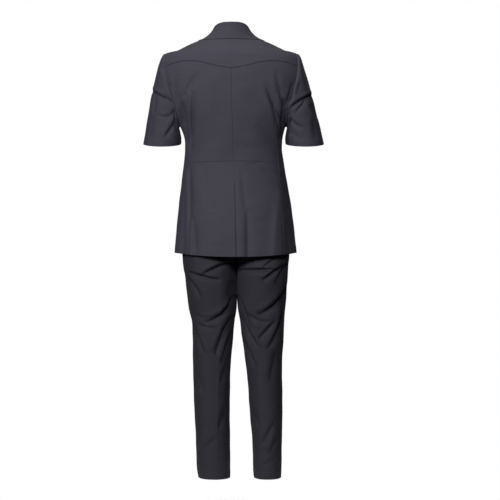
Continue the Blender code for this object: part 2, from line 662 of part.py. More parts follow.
def waistband(name, finish):
    """One strip round the waist. Its left end laps over its right end at the front."""
    start = -math.pi / 2 - math.radians(6)
    end = 3 * math.pi / 2 + math.radians(9)
    around = np.concatenate([np.linspace(start, start + math.radians(20), 3),
                             np.linspace(start + math.radians(20), end - math.radians(26), 24)[1:-1],
                             np.linspace(end - math.radians(26), end, 3)])

    def offset(z, angle):
        over = 1 - ease(start + math.radians(14), start + math.radians(20), angle)
        under = ease(end - math.radians(26), end - math.radians(20), angle)
        return LAP_LIFT * (over - under)

    return wall(name, finish, hip_ring, [spread(np.array([BAND_END + SEAM, BAND_TOP]), around)], (0, 0), offset)


def fly(name, finish):
    """The fly's facing: a strip of the left trouser front's own points beside its middle seam, moved out."""
    z, share = leg_grid(1, -1)
    rows = LEG_ROWS > FLY_END
    grid = (z[rows][:, :2], share[rows][:, :2])
    return wall(name, finish, leg_surface(1, -1), [grid], (0.08, 0), offset=LAYER, place=clear_leg(1, -1))


# Buttons


def button(name, surface, p, q, lift, radius, finish):
    """A disc on the cloth: its face square to the surface at (p, q), its foot lift above the middle surface."""
    p, q = np.array([[p]]), np.array([[q]])
    point, across = surface(p, q)[0, 0], across_surface(surface, p, q)[0, 0]
    if across @ [0, -1, 0] < 0:
        across = -across
    bpy.ops.mesh.primitive_cylinder_add(vertices=16, radius=radius, depth=BUTTON_THICK)
    disc = bpy.context.object
    mesh = disc.data
    bpy.data.objects.remove(disc)
    made = placed(name, mesh, finish)
    tilt = math.acos(-across[1])
    made.rotation_euler = (math.pi / 2 + math.copysign(tilt, -across[2]), 0, math.atan2(across[0], -across[1]))
    made.location = point + across * (lift + BUTTON_THICK / 2)
    return made


SUIT = "safari_suit"


def build():
    for old in list(bpy.data.objects):
        bpy.data.objects.remove(old)
    collection = bpy.data.collections.new(SUIT)
    bpy.context.scene.collection.children.link(collection)

    jacket_cloth = material("jacket suiting", (0.045, 0.045, 0.055), 0.75)
    trouser_cloth = material("trouser suiting", (0.030, 0.030, 0.038), 0.75)
    horn = material("button", (0.015, 0.015, 0.018), 0.35)

    yoke("back_yoke", jacket_cloth)
    wall("collar_stand", jacket_cloth, stand_surface, [spread(np.linspace(0, 1, 2), collar_turns())], (0, 0))
    wall("collar_fall", jacket_cloth, fall_surface, [spread(np.linspace(0, 1, 4), collar_turns())], (0, 0))
    for word, side in (("left", 1), ("right", -1)):
        back_panel(f"back_{word}", side, jacket_cloth)
        back_skirt(f"back_skirt_{word}", side, jacket_cloth)
        front_panel(f"front_{word}", side, jacket_cloth)
        sleeve(f"sleeve_{word}", side, jacket_cloth)
        on_front(f"chest_pocket_{word}", side, CHEST_POCKET, 1, jacket_cloth)
        on_front(f"chest_flap_{word}", side, CHEST_FLAP, 2, jacket_cloth)
        on_front(f"hip_pocket_{word}", side, HIP_POCKET, 1, jacket_cloth)
        on_front(f"hip_flap_{word}", side, HIP_FLAP, 2, jacket_cloth)
        leg_panel(f"trouser_back_{word}", side, 1, trouser_cloth)
        leg_panel(f"trouser_front_{word}", side, -1, trouser_cloth)
    waistband("waistband", trouser_cloth)
    fly("fly", trouser_cloth)

    front_lift = LAP_LIFT + CLOTH / 2 + BUTTON_CLEAR
    for number, height in enumerate(BUTTON_Z, start=1):
        row = float(solve(lambda row: height - jacket_upright(row, -math.pi / 2)[..., 2], 0.5, 11.0))
        button(f"front_button_{number}", jacket, row, -math.pi / 2, front_lift, BUTTON_RADIUS, horn)
    band_middle = (BAND_TOP + BAND_END) / 2
    button("waist_button", hip_ring, band_middle, -math.pi / 2, front_lift, SMALL_BUTTON_RADIUS, horn)


build()
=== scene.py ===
# %% [markdown]
# # A safari suit with nobody in it
#
# The suit is a short-sleeved jacket over trousers. Every cut piece of cloth is its own mesh here: a
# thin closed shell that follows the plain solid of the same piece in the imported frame, with the folds,
# seams, hems and stitching that the solid leaves out. All lengths are in metres, +Z is up, the suit
# faces -Y and the wearer's left is +X.

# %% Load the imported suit
import math
from collections import namedtuple

import bpy
import numpy as np
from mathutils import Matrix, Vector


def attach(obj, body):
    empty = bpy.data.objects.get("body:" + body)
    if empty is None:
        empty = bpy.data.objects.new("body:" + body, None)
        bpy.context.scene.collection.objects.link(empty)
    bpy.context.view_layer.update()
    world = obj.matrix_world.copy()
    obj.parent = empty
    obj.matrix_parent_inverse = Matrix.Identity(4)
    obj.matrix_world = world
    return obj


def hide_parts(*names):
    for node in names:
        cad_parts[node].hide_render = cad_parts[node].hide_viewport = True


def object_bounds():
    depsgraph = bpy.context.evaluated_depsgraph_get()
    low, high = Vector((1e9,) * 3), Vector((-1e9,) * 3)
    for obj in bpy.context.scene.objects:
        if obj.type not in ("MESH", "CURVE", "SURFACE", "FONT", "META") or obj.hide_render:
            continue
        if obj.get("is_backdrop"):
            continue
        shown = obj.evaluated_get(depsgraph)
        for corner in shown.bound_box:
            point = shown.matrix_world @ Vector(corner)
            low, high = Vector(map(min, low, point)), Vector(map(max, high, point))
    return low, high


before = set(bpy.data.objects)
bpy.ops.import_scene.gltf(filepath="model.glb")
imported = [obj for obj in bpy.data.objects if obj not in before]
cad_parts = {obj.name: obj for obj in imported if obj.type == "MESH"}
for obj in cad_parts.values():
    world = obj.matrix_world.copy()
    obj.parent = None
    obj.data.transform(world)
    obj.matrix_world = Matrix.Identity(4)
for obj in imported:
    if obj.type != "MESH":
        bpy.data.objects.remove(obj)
cad_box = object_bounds()
SIDES = (("left", 1), ("right", -1))


def in_words(box):
    """A box's two corners, to a tenth of a millimetre."""
    return " to ".join(str([round(v, 4) for v in corner]) for corner in box)


print(len(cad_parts), "solids from", in_words(cad_box))

# %% [markdown]
# ## A form from a short table
#
# A garment could be sculpted, or cut flat and draped by a simulation. Here the drape is known, so it is
# quicker and steadier to describe it: a table gives the sizes of a few rings, and a smooth curve
# through the rows gives every ring between them. The same few helpers serve the jacket, the sleeves,
# the collar and the legs.

# %% Curves through tables
TINY = 1e-4  # step in a surface's two numbers when its slope is measured
HALVINGS = 40


def smooth(table, at, key=None):
    """A table's columns at any row, or at any value of its key column: between two rows a and b each column
    is a(1+2u)(1-u)^2 + bu^2(3-2u) plus the slopes' share, where u runs from 0 to 1."""
    values = np.array(table, dtype=float)
    knots = np.arange(len(values), dtype=float) if key is None else values[:, key]
    if knots[0] > knots[-1]:
        values, knots = values[::-1], knots[::-1]
    at = np.asarray(at, dtype=float)
    if key is not None:
        at = np.clip(at, knots[0], knots[-1])
    slopes = np.gradient(values, knots, axis=0)
    low = np.clip(np.searchsorted(knots, at) - 1, 0, len(knots) - 2)
    step = (knots[low + 1] - knots[low])[..., None]
    u = (at - knots[low])[..., None] / step
    a, b = values[low], values[low + 1]
    return (a * (1 + 2 * u) * (1 - u) ** 2 + b * u * u * (3 - 2 * u)
            + step * (slopes[low] * u * (1 - u) ** 2 - slopes[low + 1] * u * u * (1 - u)))


def read(table, at, key=None):
    """The same, as one array for each column."""
    return np.moveaxis(smooth(table, at, key), -1, 0)


def ease(start, end, x):
    """0 before start, 1 after end, and 3u^2 - 2u^3 between."""
    u = np.clip((x - start) / (end - start), 0.0, 1.0)
    return u * u * (3 - 2 * u)


def fade(start, end, x):
    """1 before start, and 0 after end."""
    return 1 - ease(start, end, x)


def power(value, exponent):
    """value to a power, with its sign kept."""
    return np.sign(value) * np.abs(value) ** exponent


def unit(way):
    return way / np.linalg.norm(way, axis=-1, keepdims=True)


def solve(function, low, high):
    """Where function, positive at low and negative at high, is zero: the stretch is halved again and again."""
    for _ in range(HALVINGS):
        middle = (low + high) / 2
        positive = function(middle) > 0
        low, high = np.where(positive, middle, low), np.where(positive, high, middle)
    return (low + high) / 2


# %% [markdown]
# ## The jacket's body
#
# The body is one surface of two numbers: a row, from the hem to the neck, and an angle round it. Its
# rings are a little squarer than an ellipse, and their backs and fronts may dip below their sides, so
# that the top rows lie over the shoulders like a roof.

# %% The jacket's rings
JACKET = [
    # height at the side, the back and the front; half the width; depth of back and front; how square
    (-0.702, -0.715, -0.722, 0.2007, 0.138, 0.135, 2.30),  # hem
    (-0.620, -0.626, -0.628, 0.1938, 0.134, 0.129, 2.30),
    (-0.540, -0.543, -0.543, 0.1846, 0.124, 0.121, 2.30),
    (-0.475, -0.474, -0.475, 0.1750, 0.112, 0.116, 2.30),
    (-0.412, -0.406, -0.410, 0.1650, 0.103, 0.113, 2.30),  # waist seam
    (-0.348, -0.345, -0.346, 0.1590, 0.106, 0.116, 2.35),
    (-0.285, -0.283, -0.284, 0.1740, 0.113, 0.119, 2.40),  # under the arm
    (-0.230, -0.228, -0.232, 0.2060, 0.119, 0.119, 2.40),
    (-0.170, -0.168, -0.180, 0.2320, 0.121, 0.115, 2.40),
    (-0.112, -0.110, -0.136, 0.2450, 0.115, 0.106, 2.40),
    (-0.070, -0.066, -0.108, 0.2400, 0.103, 0.097, 2.40),
    (-0.049, -0.042, -0.092, 0.2200, 0.090, 0.090, 2.30),  # point of the shoulder
    (-0.041, -0.029, -0.085, 0.1870, 0.080, 0.086, 2.30),
    (-0.020, -0.018, -0.081, 0.1440, 0.072, 0.083, 2.20),
    (-0.005, -0.009, -0.078, 0.1080, 0.065, 0.080, 2.10),
    (0.0035, -0.002, -0.075, 0.0760, 0.057, 0.075, 2.00),  # neck seam
]
HEM, WAIST, NECK = 0, 4, 15
HALF_WIDTH, SQUARE = 3, 6  # columns
LEAN = [  # height, and how far the suit leans to one side there
    (-1.44, -0.0312), (-1.35, -0.0288), (-1.22, -0.0242), (-1.10, -0.0195), (-0.97, -0.0164),
    (-0.87, -0.0150), (-0.71, -0.0112), (-0.54, -0.0084), (-0.41, -0.0046), (-0.30, -0.0020),
    (-0.20, 0.0020), (-0.10, 0.0035), (-0.02, 0.0045), (0.06, 0.0030),
]


def lean(z):
    return read(LEAN, z, key=0)[1]


def jacket_upright(row, angle):
    """x = half_width cos^(2/n), y = depth sin^(2/n), and z goes from the side's height to the back's or the
    front's as sin^2. Angle 0 is the wearer's left, 90 degrees the middle of the back; n is how square."""
    side_z, back_z, front_z, half_width, back, front, square = read(JACKET, row)
    along, across = np.sin(angle), np.cos(angle)
    behind = along > 0
    x = half_width * power(across, 2 / square)
    y = np.where(behind, back, front) * power(along, 2 / square)
    z = side_z + (np.where(behind, back_z, front_z) - side_z) * along ** 2
    return np.stack([x, y, z], axis=-1)


def jacket(row, angle):
    """The upright surface, shifted by the lean at its height."""
    point = jacket_upright(row, angle)
    point[..., 0] += lean(point[..., 2])
    return point


def mirrored(angle, side):
    """The same place on the wearer's other side, where side is -1."""
    return np.where(side > 0, angle, math.pi - angle)


def angle_at(row, x, face):
    """The angle where the jacket is x from its middle, on its back (face 1) or its front (face -1)."""
    ring = smooth(JACKET, row)
    return face * np.arccos(power(x / ring[..., HALF_WIDTH], ring[..., SQUARE] / 2))


print("jacket:", len(JACKET), "rings, hem", round(2 * JACKET[HEM][HALF_WIDTH], 3), "m wide")

# %% [markdown]
# ## Where the seams run
#
# A seam is a line on that surface. The armhole and the side-back seam are given by how far they are
# from the middle at each height, and the pointed yoke by its height at each share of the way out. The
# angle of a seam on any row is found by halving, since the surface has no simple inverse.

# %% Seam lines of the jacket
ARMHOLE = [  # height, and distance from the middle
    (-0.300, 0.172), (-0.285, 0.1735), (-0.235, 0.183), (-0.200, 0.194), (-0.150, 0.207), (-0.095, 0.216),
    (-0.050, 0.2145), (-0.030, 0.212),
]
SIDE_SEAM = [  # height, and distance from the middle
    (-0.730, 0.157), (-0.620, 0.153), (-0.475, 0.1475), (-0.410, 0.143), (-0.330, 0.138), (-0.260, 0.136),
    (-0.215, 0.140), (-0.185, 0.152), (-0.165, 0.178), (-0.150, 0.213), (-0.140, 0.240),
]
YOKE_SEAM = [  # share of the way out, and height
    (0.0, -0.104), (0.14, -0.0965), (0.28, -0.0860), (0.50, -0.0795), (0.75, -0.0840), (1.0, -0.0950),
]


def beyond(line, row, angle):
    """How far out past a seam line the jacket is."""
    point = jacket_upright(row, angle)
    return point[..., 0] - read(line, point[..., 2], key=0)[1]


def crossing(line, row, face):
    """The angle at which a row crosses a seam line, from the side towards the back or the front."""
    return solve(lambda angle: beyond(line, row, face * angle), np.zeros(np.shape(row)), math.pi / 2)


UNDERARM_ROW = float(solve(lambda row: -beyond(ARMHOLE, row, 0.0), 4.5, 8.0))
SHOULDER_ROW = float(solve(lambda row: beyond(ARMHOLE, row, 0.0), 9.0, 13.0))


def armhole_angle(row, face):
    """The angle at which a row of the jacket ends at the left armhole, or 0 where it misses it."""
    return face * np.where((row > UNDERARM_ROW) & (row < SHOULDER_ROW), crossing(ARMHOLE, row, face), 0.0)


def side_seam_angle(row):
    return crossing(SIDE_SEAM, row, 1)


SEAM_TOP_ROW = float(solve(lambda row: side_seam_angle(row) - armhole_angle(row, 1), UNDERARM_ROW + 0.1, 10.0))


def back_angle(row, share):
    """Share 0 is the middle back. Share 1 is the side-back seam, then the armhole, then the shoulder seam."""
    edge = np.maximum(armhole_angle(row, 1), np.where(row < SEAM_TOP_ROW, side_seam_angle(row), 0.0))
    return math.pi / 2 + (edge - math.pi / 2) * share


def yoke_row(share):
    """The row of the yoke's seam at each share of the way out."""
    height = read(YOKE_SEAM, share, key=0)[1]
    return solve(lambda row: height - jacket_upright(row, back_angle(row, share))[..., 2], 8.0, 11.0)


YOKE_EDGE_ROW = float(yoke_row(1.0))
print(f"armhole rows {UNDERARM_ROW:.2f} to {SHOULDER_ROW:.2f}, side seam ends at {SEAM_TOP_ROW:.2f}")

# %% [markdown]
# ## Folds
#
# Worn cloth folds where it is pulled or has nowhere to go: from the armhole towards the waist, in the
# bend of the sleeve, and under the seat. Each fold here is one row of a table: its two ends, how far
# it bows between them, how wide and how deep its valley is, and how high the roll of cloth beside it.
# A simulation would make other folds than these, and placing them one by one gives this suit's own.

# %% One fold, and many of them
Fold = namedtuple("Fold", "face x0 z0 x1 z1 bend wide deep ridge")
ROLL_AT, ROLL_WIDE, RUN_OUT = 2.2, 1.6, 1.7  # all in a fold's own widths


def folds(face, rows):
    """Folds from rows of x0, z0, x1, z1, bend, wide, deep and ridge in millimetres. Face 1 is for cloth that
    faces back, and -1 for cloth that faces forward."""
    return [Fold(face, *(length / 1000 for length in row)) for row in rows]


def fold_height(folds, point, normal):
    """How far folds move the cloth out. With t the share of the way from end to end and d the distance above
    the fold's curve (or to the left of a steep one, or the other way where ridge is negative), a fold adds
    (4t(1-t))^0.65 * (ridge exp(-((d - 2.2w) / 1.6w)^2) - deep exp(-(|d| / v)^1.3)), where v is w on the
    ridge's side and 1.7w on the other: the cloth rolls over sharply and runs out more slowly below."""
    x, z = point[..., 0], point[..., 2]
    total = np.zeros(x.shape)
    for fold in folds:
        way = np.array([fold.x1 - fold.x0, fold.z1 - fold.z0])
        length = np.hypot(*way)
        way = way / length
        square = np.array([-way[1], way[0]])
        square = square * np.sign(square[np.argmax(np.abs(square))])
        t = ((x - fold.x0) * way[0] + (z - fold.z0) * way[1]) / length
        arch = np.clip(4 * t * (1 - t), 0, 1)
        d = (x - fold.x0) * square[0] + (z - fold.z0) * square[1] - fold.bend * arch
        d = d * np.sign(fold.ridge) / fold.wide
        valley = np.exp(-np.abs(np.where(d > 0, d, d / RUN_OUT)) ** 1.3)
        shape = abs(fold.ridge) * np.exp(-((d - ROLL_AT) / ROLL_WIDE) ** 2) - fold.deep * valley
        total += arch ** 0.65 * ease(-0.15, 0.35, fold.face * normal[..., 1]) * shape
    return total


def slack(point):
    """Soft unevenness all over, as no worn cloth is quite smooth: three long waves of half a millimetre."""
    x, y, z = np.moveaxis(point, -1, 0)
    return 0.0004 * (np.sin(61 * x + 23 * z + 1.3) + np.sin(37 * z - 48 * y + 0.4) * np.sin(29 * x + 0.8)
                     + np.sin(83 * z + 31 * x - 26 * y + 2.1) * 0.6)


# %% [markdown]
# ## Panels of cloth
#
# A panel is a grid of places on a surface, moved out by its folds, with a second face a millimetre
# further in and a rim between them. Solidify could add the second face, but a panel made of several
# grids that meet, such as a front that runs round the side, is easier to close by hand. The rows are
# evenly spaced in metres, with a few more close to every edge, where the cloth rolls into a seam, is
# turned up for a hem, or is stitched.

# %% Places on a panel
SEAM = 0.0003  # from the body's cloth to the sleeve's
LAYER = 0.0018  # from the middle of one layer of cloth to the middle of the next
CLOTH = 0.0011  # thickness of the shells
SPACING = 0.0038
NEAR = np.array([0.0005, 0.0012, 0.0024, 0.0044, 0.0060, 0.0078, 0.0105])  # extra rows this far from an edge
NO_EXTRA = np.array([])
FINE = 600  # points at which a line's length is measured


def run_length(line):
    """How far along a line of points each point is."""
    return np.concatenate([[0], np.cumsum(np.linalg.norm(np.diff(line, axis=0), axis=-1))])


def along(line, start, end, spacing=SPACING, near=NEAR):
    """Numbers from start to end at which line's points lie evenly spaced, with more at the distances near."""
    fine = np.linspace(start, end, FINE)
    length = run_length(line(fine))
    near = near[near < length[-1] * 0.4]
    rest = length[-1] - 2 * near[-1] if len(near) else length[-1]
    count = max(int(round(rest / spacing)), 2) + 1
    even = np.linspace(length[-1] / 2 - rest / 2, length[-1] / 2 + rest / 2, count)
    if len(near):
        even = np.concatenate([[0], near[:-1], even, length[-1] - near[-2::-1], [length[-1]]])
    return np.interp(even, length, fine)


def steps(length, least):
    """How many steps of SPACING go into a length, and no fewer than least."""
    return max(int(length / SPACING), least)


def line_on(surface, p=None, q=None):
    """The line on a surface where one of its two numbers keeps this value, and the other runs."""
    if p is None:
        return lambda p: surface(p, np.full(p.shape, q))
    return lambda q: surface(np.full(q.shape, p), q)


def jacket_rows(start, end, near=NEAR, angle=1.2):
    """Rows of the jacket, spaced along the line that runs up it at one angle."""
    return along(line_on(jacket, q=angle), start, end, near=near)


def as_shares(values):
    """The same steps, from 0 to 1."""
    return (values - values[0]) / (values[-1] - values[0])


def jacket_shares(row, start, end):
    """Shares from 0 to 1 that are evenly spaced on the cloth between two angles of one row."""
    return as_shares(along(line_on(jacket, p=row), float(start), float(end)))


def between(first, last, shares):
    """A grid in which each row runs from its own first number to its last."""
    return first[:, None] + (last - first)[:, None] * shares


def across_surface(surface, p, q):
    """The unit vectors square to a surface: the cross product of its two slopes."""
    slopes = surface(p + TINY, q) - surface(p - TINY, q), surface(p, q + TINY) - surface(p, q - TINY)
    return unit(np.cross(*slopes))


# %% What an edge does to the cloth beside it
STITCH_IN = 0.006  # topstitching runs this far from a finished edge
HEM_DEEP = 0.026


def seam_edge(d):
    """Sinks 0.8 mm into the seam, with the pressed allowance as a low swelling 7 mm beside it."""
    return 0.00008 * np.exp(-((d - 0.007) / 0.004) ** 2) - 0.0008 * np.exp(-(d / 0.0007) ** 2)


def hem_edge(d):
    """Two layers thick as far as the hem is turned up, which just shows as a step."""
    return 0.0004 * fade(HEM_DEEP - 0.002, HEM_DEEP + 0.002, d)


def stitched_edge(d):
    """A full edge, then a groove where the topstitching pulls the layers together."""
    return 0.0005 * fade(STITCH_IN, STITCH_IN + 0.003, d) - 0.00055 * np.exp(-((d - STITCH_IN) / 0.0012) ** 2)


def plain_edge(d):
    return np.zeros_like(d)


def distances(point):
    """How far each point of a grid is from its first and last row and column, along the cloth."""
    down = np.linalg.norm(np.diff(point, axis=0), axis=-1)
    across = np.linalg.norm(np.diff(point, axis=1), axis=-1)
    rows = np.concatenate([np.zeros((1, point.shape[1])), np.cumsum(down, axis=0)])
    columns = np.concatenate([np.zeros((point.shape[0], 1)), np.cumsum(across, axis=1)], axis=1)
    return rows, rows[-1:] - rows, columns, columns[:, -1:] - columns


# %% Meshes
def mesh_of(name, points, faces, uv):
    """A smooth mesh from points, a list of arrays of faces of one size each, and uv, one pair a point."""
    mesh = bpy.data.meshes.new(name)
    corners = np.concatenate([face.ravel() for face in faces])
    sizes = np.concatenate([np.full(len(face), face.shape[1]) for face in faces])
    mesh.vertices.add(len(points))
    mesh.vertices.foreach_set("co", points.ravel())
    mesh.loops.add(len(corners))
    mesh.loops.foreach_set("vertex_index", corners)
    mesh.polygons.add(len(sizes))
    mesh.polygons.foreach_set("loop_start", np.concatenate([[0], np.cumsum(sizes)[:-1]]))
    mesh.update(calc_edges=True)
    mesh.uv_layers.new(name="cloth").data.foreach_set("uv", uv[corners].ravel())
    mesh.validate()
    mesh.shade_smooth()
    return mesh


def grid_quads(index, ahead):
    """The four-cornered faces between neighbouring rows of point numbers. Ahead has each point's next one."""
    return np.stack([index[:-1], index[1:], ahead[1:], ahead[:-1]], axis=-1).reshape(-1, 4)


def tube_faces(rings, sides):
    """Faces of a closed tube: rings of points, one after another, then the points in the middle of its ends."""
    index = np.arange(rings * sides).reshape(rings, sides)
    ahead = np.roll(index, -1, axis=1)
    tip = np.full(sides, index.size)
    caps = [np.stack([index[0], ahead[0], tip], axis=-1), np.stack([ahead[-1], index[-1], tip + 1], axis=-1)]
    return grid_quads(index, ahead), np.concatenate(caps)


def split_faces(quads):
    """Quads with all corners apart, and triangles from those that have two corners in one place."""
    same = np.stack([quads[:, i] == quads[:, (i + 1) % 4] for i in range(4)], axis=1)
    once = same.sum(axis=1) == 1
    return quads[~same.any(axis=1)], quads[once][~same[once]].reshape(-1, 3)


def open_edges(faces):
    """The directed edges that only one face has."""
    pairs = [np.stack([face, np.roll(face, -1, axis=1)], axis=-1) for face in faces]
    edges = np.concatenate([pair.reshape(-1, 2) for pair in pairs])
    low, high = edges.min(axis=1).astype(np.int64), edges.max(axis=1)
    _, which, count = np.unique(low * (edges.max() + 1) + high, return_inverse=True, return_counts=True)
    return edges[count[which] == 1]


def linked(name, data):
    """A new object in the scene."""
    made = bpy.data.objects.new(name, data)
    bpy.context.scene.collection.objects.link(made)
    return made


def fitted(name, mesh, finish):
    """A finished piece on the suit's one body, in the given finish."""
    piece = linked(name, mesh)
    mesh.materials.append(finish.material)
    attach(piece, "root")
    return piece


# %% A panel
Grid = namedtuple("Grid", "p q edges")  # edges: first row, last row, first column, last column
Laid = namedtuple("Laid", "base outer way uv size")
WELD = 1e5  # points of one panel that agree in metres times this are the same point
faces_of = {}  # each panel's outer face: a list of (points, normals), one pair for each of its grids


def full_grid(rows, columns, edges):
    """A grid that has every row's number with every column's."""
    return Grid(*np.meshgrid(rows, columns, indexing="ij"), edges)


def lay(grid, surface, place, axis, folds, lift, thick):
    """One grid of cloth: its places, its outer face, which way that looks, its uv in metres, and its flat
    (width, length, area)."""
    base = place(grid.p, grid.q)
    way = across_surface(surface, grid.p, grid.q)
    way = way * np.sign(((base[..., :2] - axis) * way[..., :2]).sum())
    edge = sum(kind(d) for kind, d in zip(grid.edges, distances(base)))
    up = lift(grid.p, grid.q) if callable(lift) else lift
    out = fold_height(folds, base, way) + slack(base) + edge + up
    rows, _, columns, _ = distances(base)
    uv = np.stack([columns, np.broadcast_to(rows.mean(axis=1, keepdims=True), columns.shape)], axis=-1)
    sides = np.cross(base[1:, :-1] - base[:-1, :-1], base[:-1, 1:] - base[:-1, :-1])
    size = columns[:, -1].max(), rows[-1].max(), np.linalg.norm(sides, axis=-1).sum()
    return Laid(base, base + way * (out + thick / 2)[..., None], way, uv, size)


def panel(name, finish, surface, grids, axis=(0, 0), folds=(), lift=0.0, place=None, thick=CLOTH):
    """A closed shell of cloth: on each grid the surface's point plus its normal times the folds, the slack, the
    edges and lift. The outer face looks away from axis, (x, y). Where place is given it puts the cloth, and
    surface says only which way it faces."""
    laid = [lay(grid, surface, place or surface, axis, folds, lift, thick) for grid in grids]
    base, points, normals, uv = (np.concatenate([values.reshape(-1, values.shape[-1]) for values in part])
                                 for part in list(zip(*laid))[:4])
    _, first, merged = np.unique(np.round(base * WELD).astype(np.int64), axis=0, return_index=True,
                                 return_inverse=True)
    ends = np.cumsum([one.base[..., 0].size for one in laid])
    quads = []
    for one, index in zip(laid, np.split(merged.ravel(), ends[:-1])):
        index = index.reshape(one.base.shape[:2])
        quad = grid_quads(index[:, :-1], index[:, 1:])
        turn = np.cross(one.outer[1:, :-1] - one.outer[:-1, :-1], one.outer[:-1, 1:] - one.outer[:-1, :-1])
        quads.append(quad if (turn * one.way[:-1, :-1]).sum() > 0 else quad[:, ::-1])
    whole, corners = split_faces(np.concatenate(quads))
    points, normals, uv = points[first], normals[first], uv[first]
    total = len(points)
    rim = open_edges([whole, corners])
    rim = np.stack([rim[:, 1], rim[:, 0], rim[:, 0] + total, rim[:, 1] + total], axis=-1)
    faces = [whole, whole[:, ::-1] + total, rim, corners, corners[:, ::-1] + total]
    mesh = mesh_of(name, np.concatenate([points, points - normals * thick]), faces, np.concatenate([uv, uv]))
    piece = fitted(name + "_cloth", mesh, finish)
    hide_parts(name)
    faces_of[name] = [(one.outer, one.way) for one in laid]


# %% [markdown]
# ## Suiting
#
# Both cloths are a fine, smooth plain weave of dark yarn with a little life in its colour. An image
# could hold the weave, but worked out from the cloth's own UV map, which is in metres along and across
# the grain, it stays sharp at any distance and follows every fold.

# %% Shader arithmetic
class Signal:
    """A socket of a shader that takes part in sums: each operator adds its own Math node."""

    def __init__(self, tree, socket):
        self.tree, self.socket = tree, socket

    def _math(self, operation, first, second=None):
        node = self.tree.nodes.new("ShaderNodeMath")
        node.operation = operation
        for slot, value in zip(node.inputs, (first, second)):
            if isinstance(value, Signal):
                self.tree.links.new(value.socket, slot)
            elif value is not None:
                slot.default_value = value
        return Signal(self.tree, node.outputs[0])

    def __add__(self, other):
        return self._math("ADD", self, other)

    def __sub__(self, other):
        return self._math("SUBTRACT", self, other)

    def __rsub__(self, other):
        return self._math("SUBTRACT", other, self)

    def __mul__(self, other):
        return self._math("MULTIPLY", self, other)

    def __pow__(self, other):
        return self._math("POWER", self, other)

    def sine(self):
        return self._math("SINE", self)

    __radd__ = __add__
    __rmul__ = __mul__


class Finish:
    """A material whose nodes are made by one method, with its Principled shader at hand."""

    def __init__(self, name):
        self.name = name
        self.material = bpy.data.materials.new(name)
        self.material.use_nodes = True
        self.tree = self.material.node_tree
        self.shader = self.tree.nodes["Principled BSDF"]

    def node(self, kind, settings=None, output=0, **inputs):
        made = self.tree.nodes.new(kind)
        for key, value in (settings or {}).items():
            setattr(made, key, value)
        self.feed(made, **inputs)
        return Signal(self.tree, made.outputs[output])

    def feed(self, node, **inputs):
        """Sets or links a node's sockets, named with _ for a space."""
        for key, value in inputs.items():
            self.join(node.inputs[key.replace("_", " ")], value)

    def join(self, socket, value):
        if isinstance(value, Signal):
            self.tree.links.new(value.socket, socket)
        else:
            socket.default_value = value

    def set(self, **inputs):
        self.feed(self.shader, **inputs)

    def mix(self, factor, first, second):
        """A colour between two, the first where factor is 0."""
        made = self.tree.nodes.new("ShaderNodeMix")
        made.data_type = "RGBA"
        for number, value in ((0, factor), (6, first), (7, second)):
            self.join(made.inputs[number], value)
        return Signal(self.tree, made.outputs[2])


# %% The two cloths
YARN = 0.00055  # from one yarn to the next
JACKET_COLOUR = (0.0416, 0.0395, 0.0548)
TROUSER_COLOUR = (0.0243, 0.0229, 0.0312)
VARIES = 0.18  # how far the colour goes each way, as a share


def tinted(colour, share):
    """A colour made lighter or darker by a share, with its alpha."""
    return tuple(c * share for c in colour) + (1,)


def suiting(name, colour, sheen):
    """Plain weave: the warp's humps are sin^2 across, the weft's sin^2 along, and a checker of yarns says which
    is on top. Colour wanders by a few percent from yarn to yarn and over the cloth."""
    cloth = Finish(name)
    place = cloth.node("ShaderNodeUVMap", {"uv_map": "cloth"})
    u, v = (cloth.node("ShaderNodeSeparateXYZ", output=number, Vector=place) for number in (0, 1))
    warp, weft = ((way * (math.pi / YARN)).sine() ** 2 for way in (u, v))
    over = cloth.node("ShaderNodeTexChecker", output=1, Vector=place, Scale=1 / YARN)
    weave = warp * over + weft * (1 - over)
    streak = cloth.node("ShaderNodeTexNoise", Vector=place, Scale=900.0, Detail=2.0)
    long_yarns = cloth.node("ShaderNodeCombineXYZ", X=u * 9.0, Y=v * 260.0)
    slub = cloth.node("ShaderNodeTexNoise", Vector=long_yarns, Scale=1.0, Detail=2.0)
    cloud = cloth.node("ShaderNodeTexNoise", Vector=place, Scale=14.0, Detail=3.0)
    shade = (streak - 0.5) * 0.9 + (slub - 0.5) * 0.7 + (cloud - 0.5) * 0.6 + (weave - 0.5) * 0.35 + 0.5
    cloth.set(Base_Color=cloth.mix(shade, tinted(colour, 1 - VARIES), tinted(colour, 1 + VARIES)),
              Roughness=(cloud - 0.5) * 0.12 + 0.74,
              Normal=cloth.node("ShaderNodeBump", Strength=0.35, Distance=0.00012, Height=weave + streak * 0.4),
              Sheen_Weight=sheen, Sheen_Roughness=0.4, Specular_IOR_Level=0.2)
    return cloth


jacket_suiting = suiting("jacket suiting", JACKET_COLOUR, 0.04)
trouser_suiting = suiting("trouser suiting", TROUSER_COLOUR, 0.03)
print("cloths:", jacket_suiting.name, "and", trouser_suiting.name)

# %% [markdown]
# ## The folds of the jacket's back
#
# The back pulls from each armhole down to the waist, which makes two or three long valleys a side. The
# skirt below the waist seam is pressed flat in the middle and buckles beside its seams and at the vent.

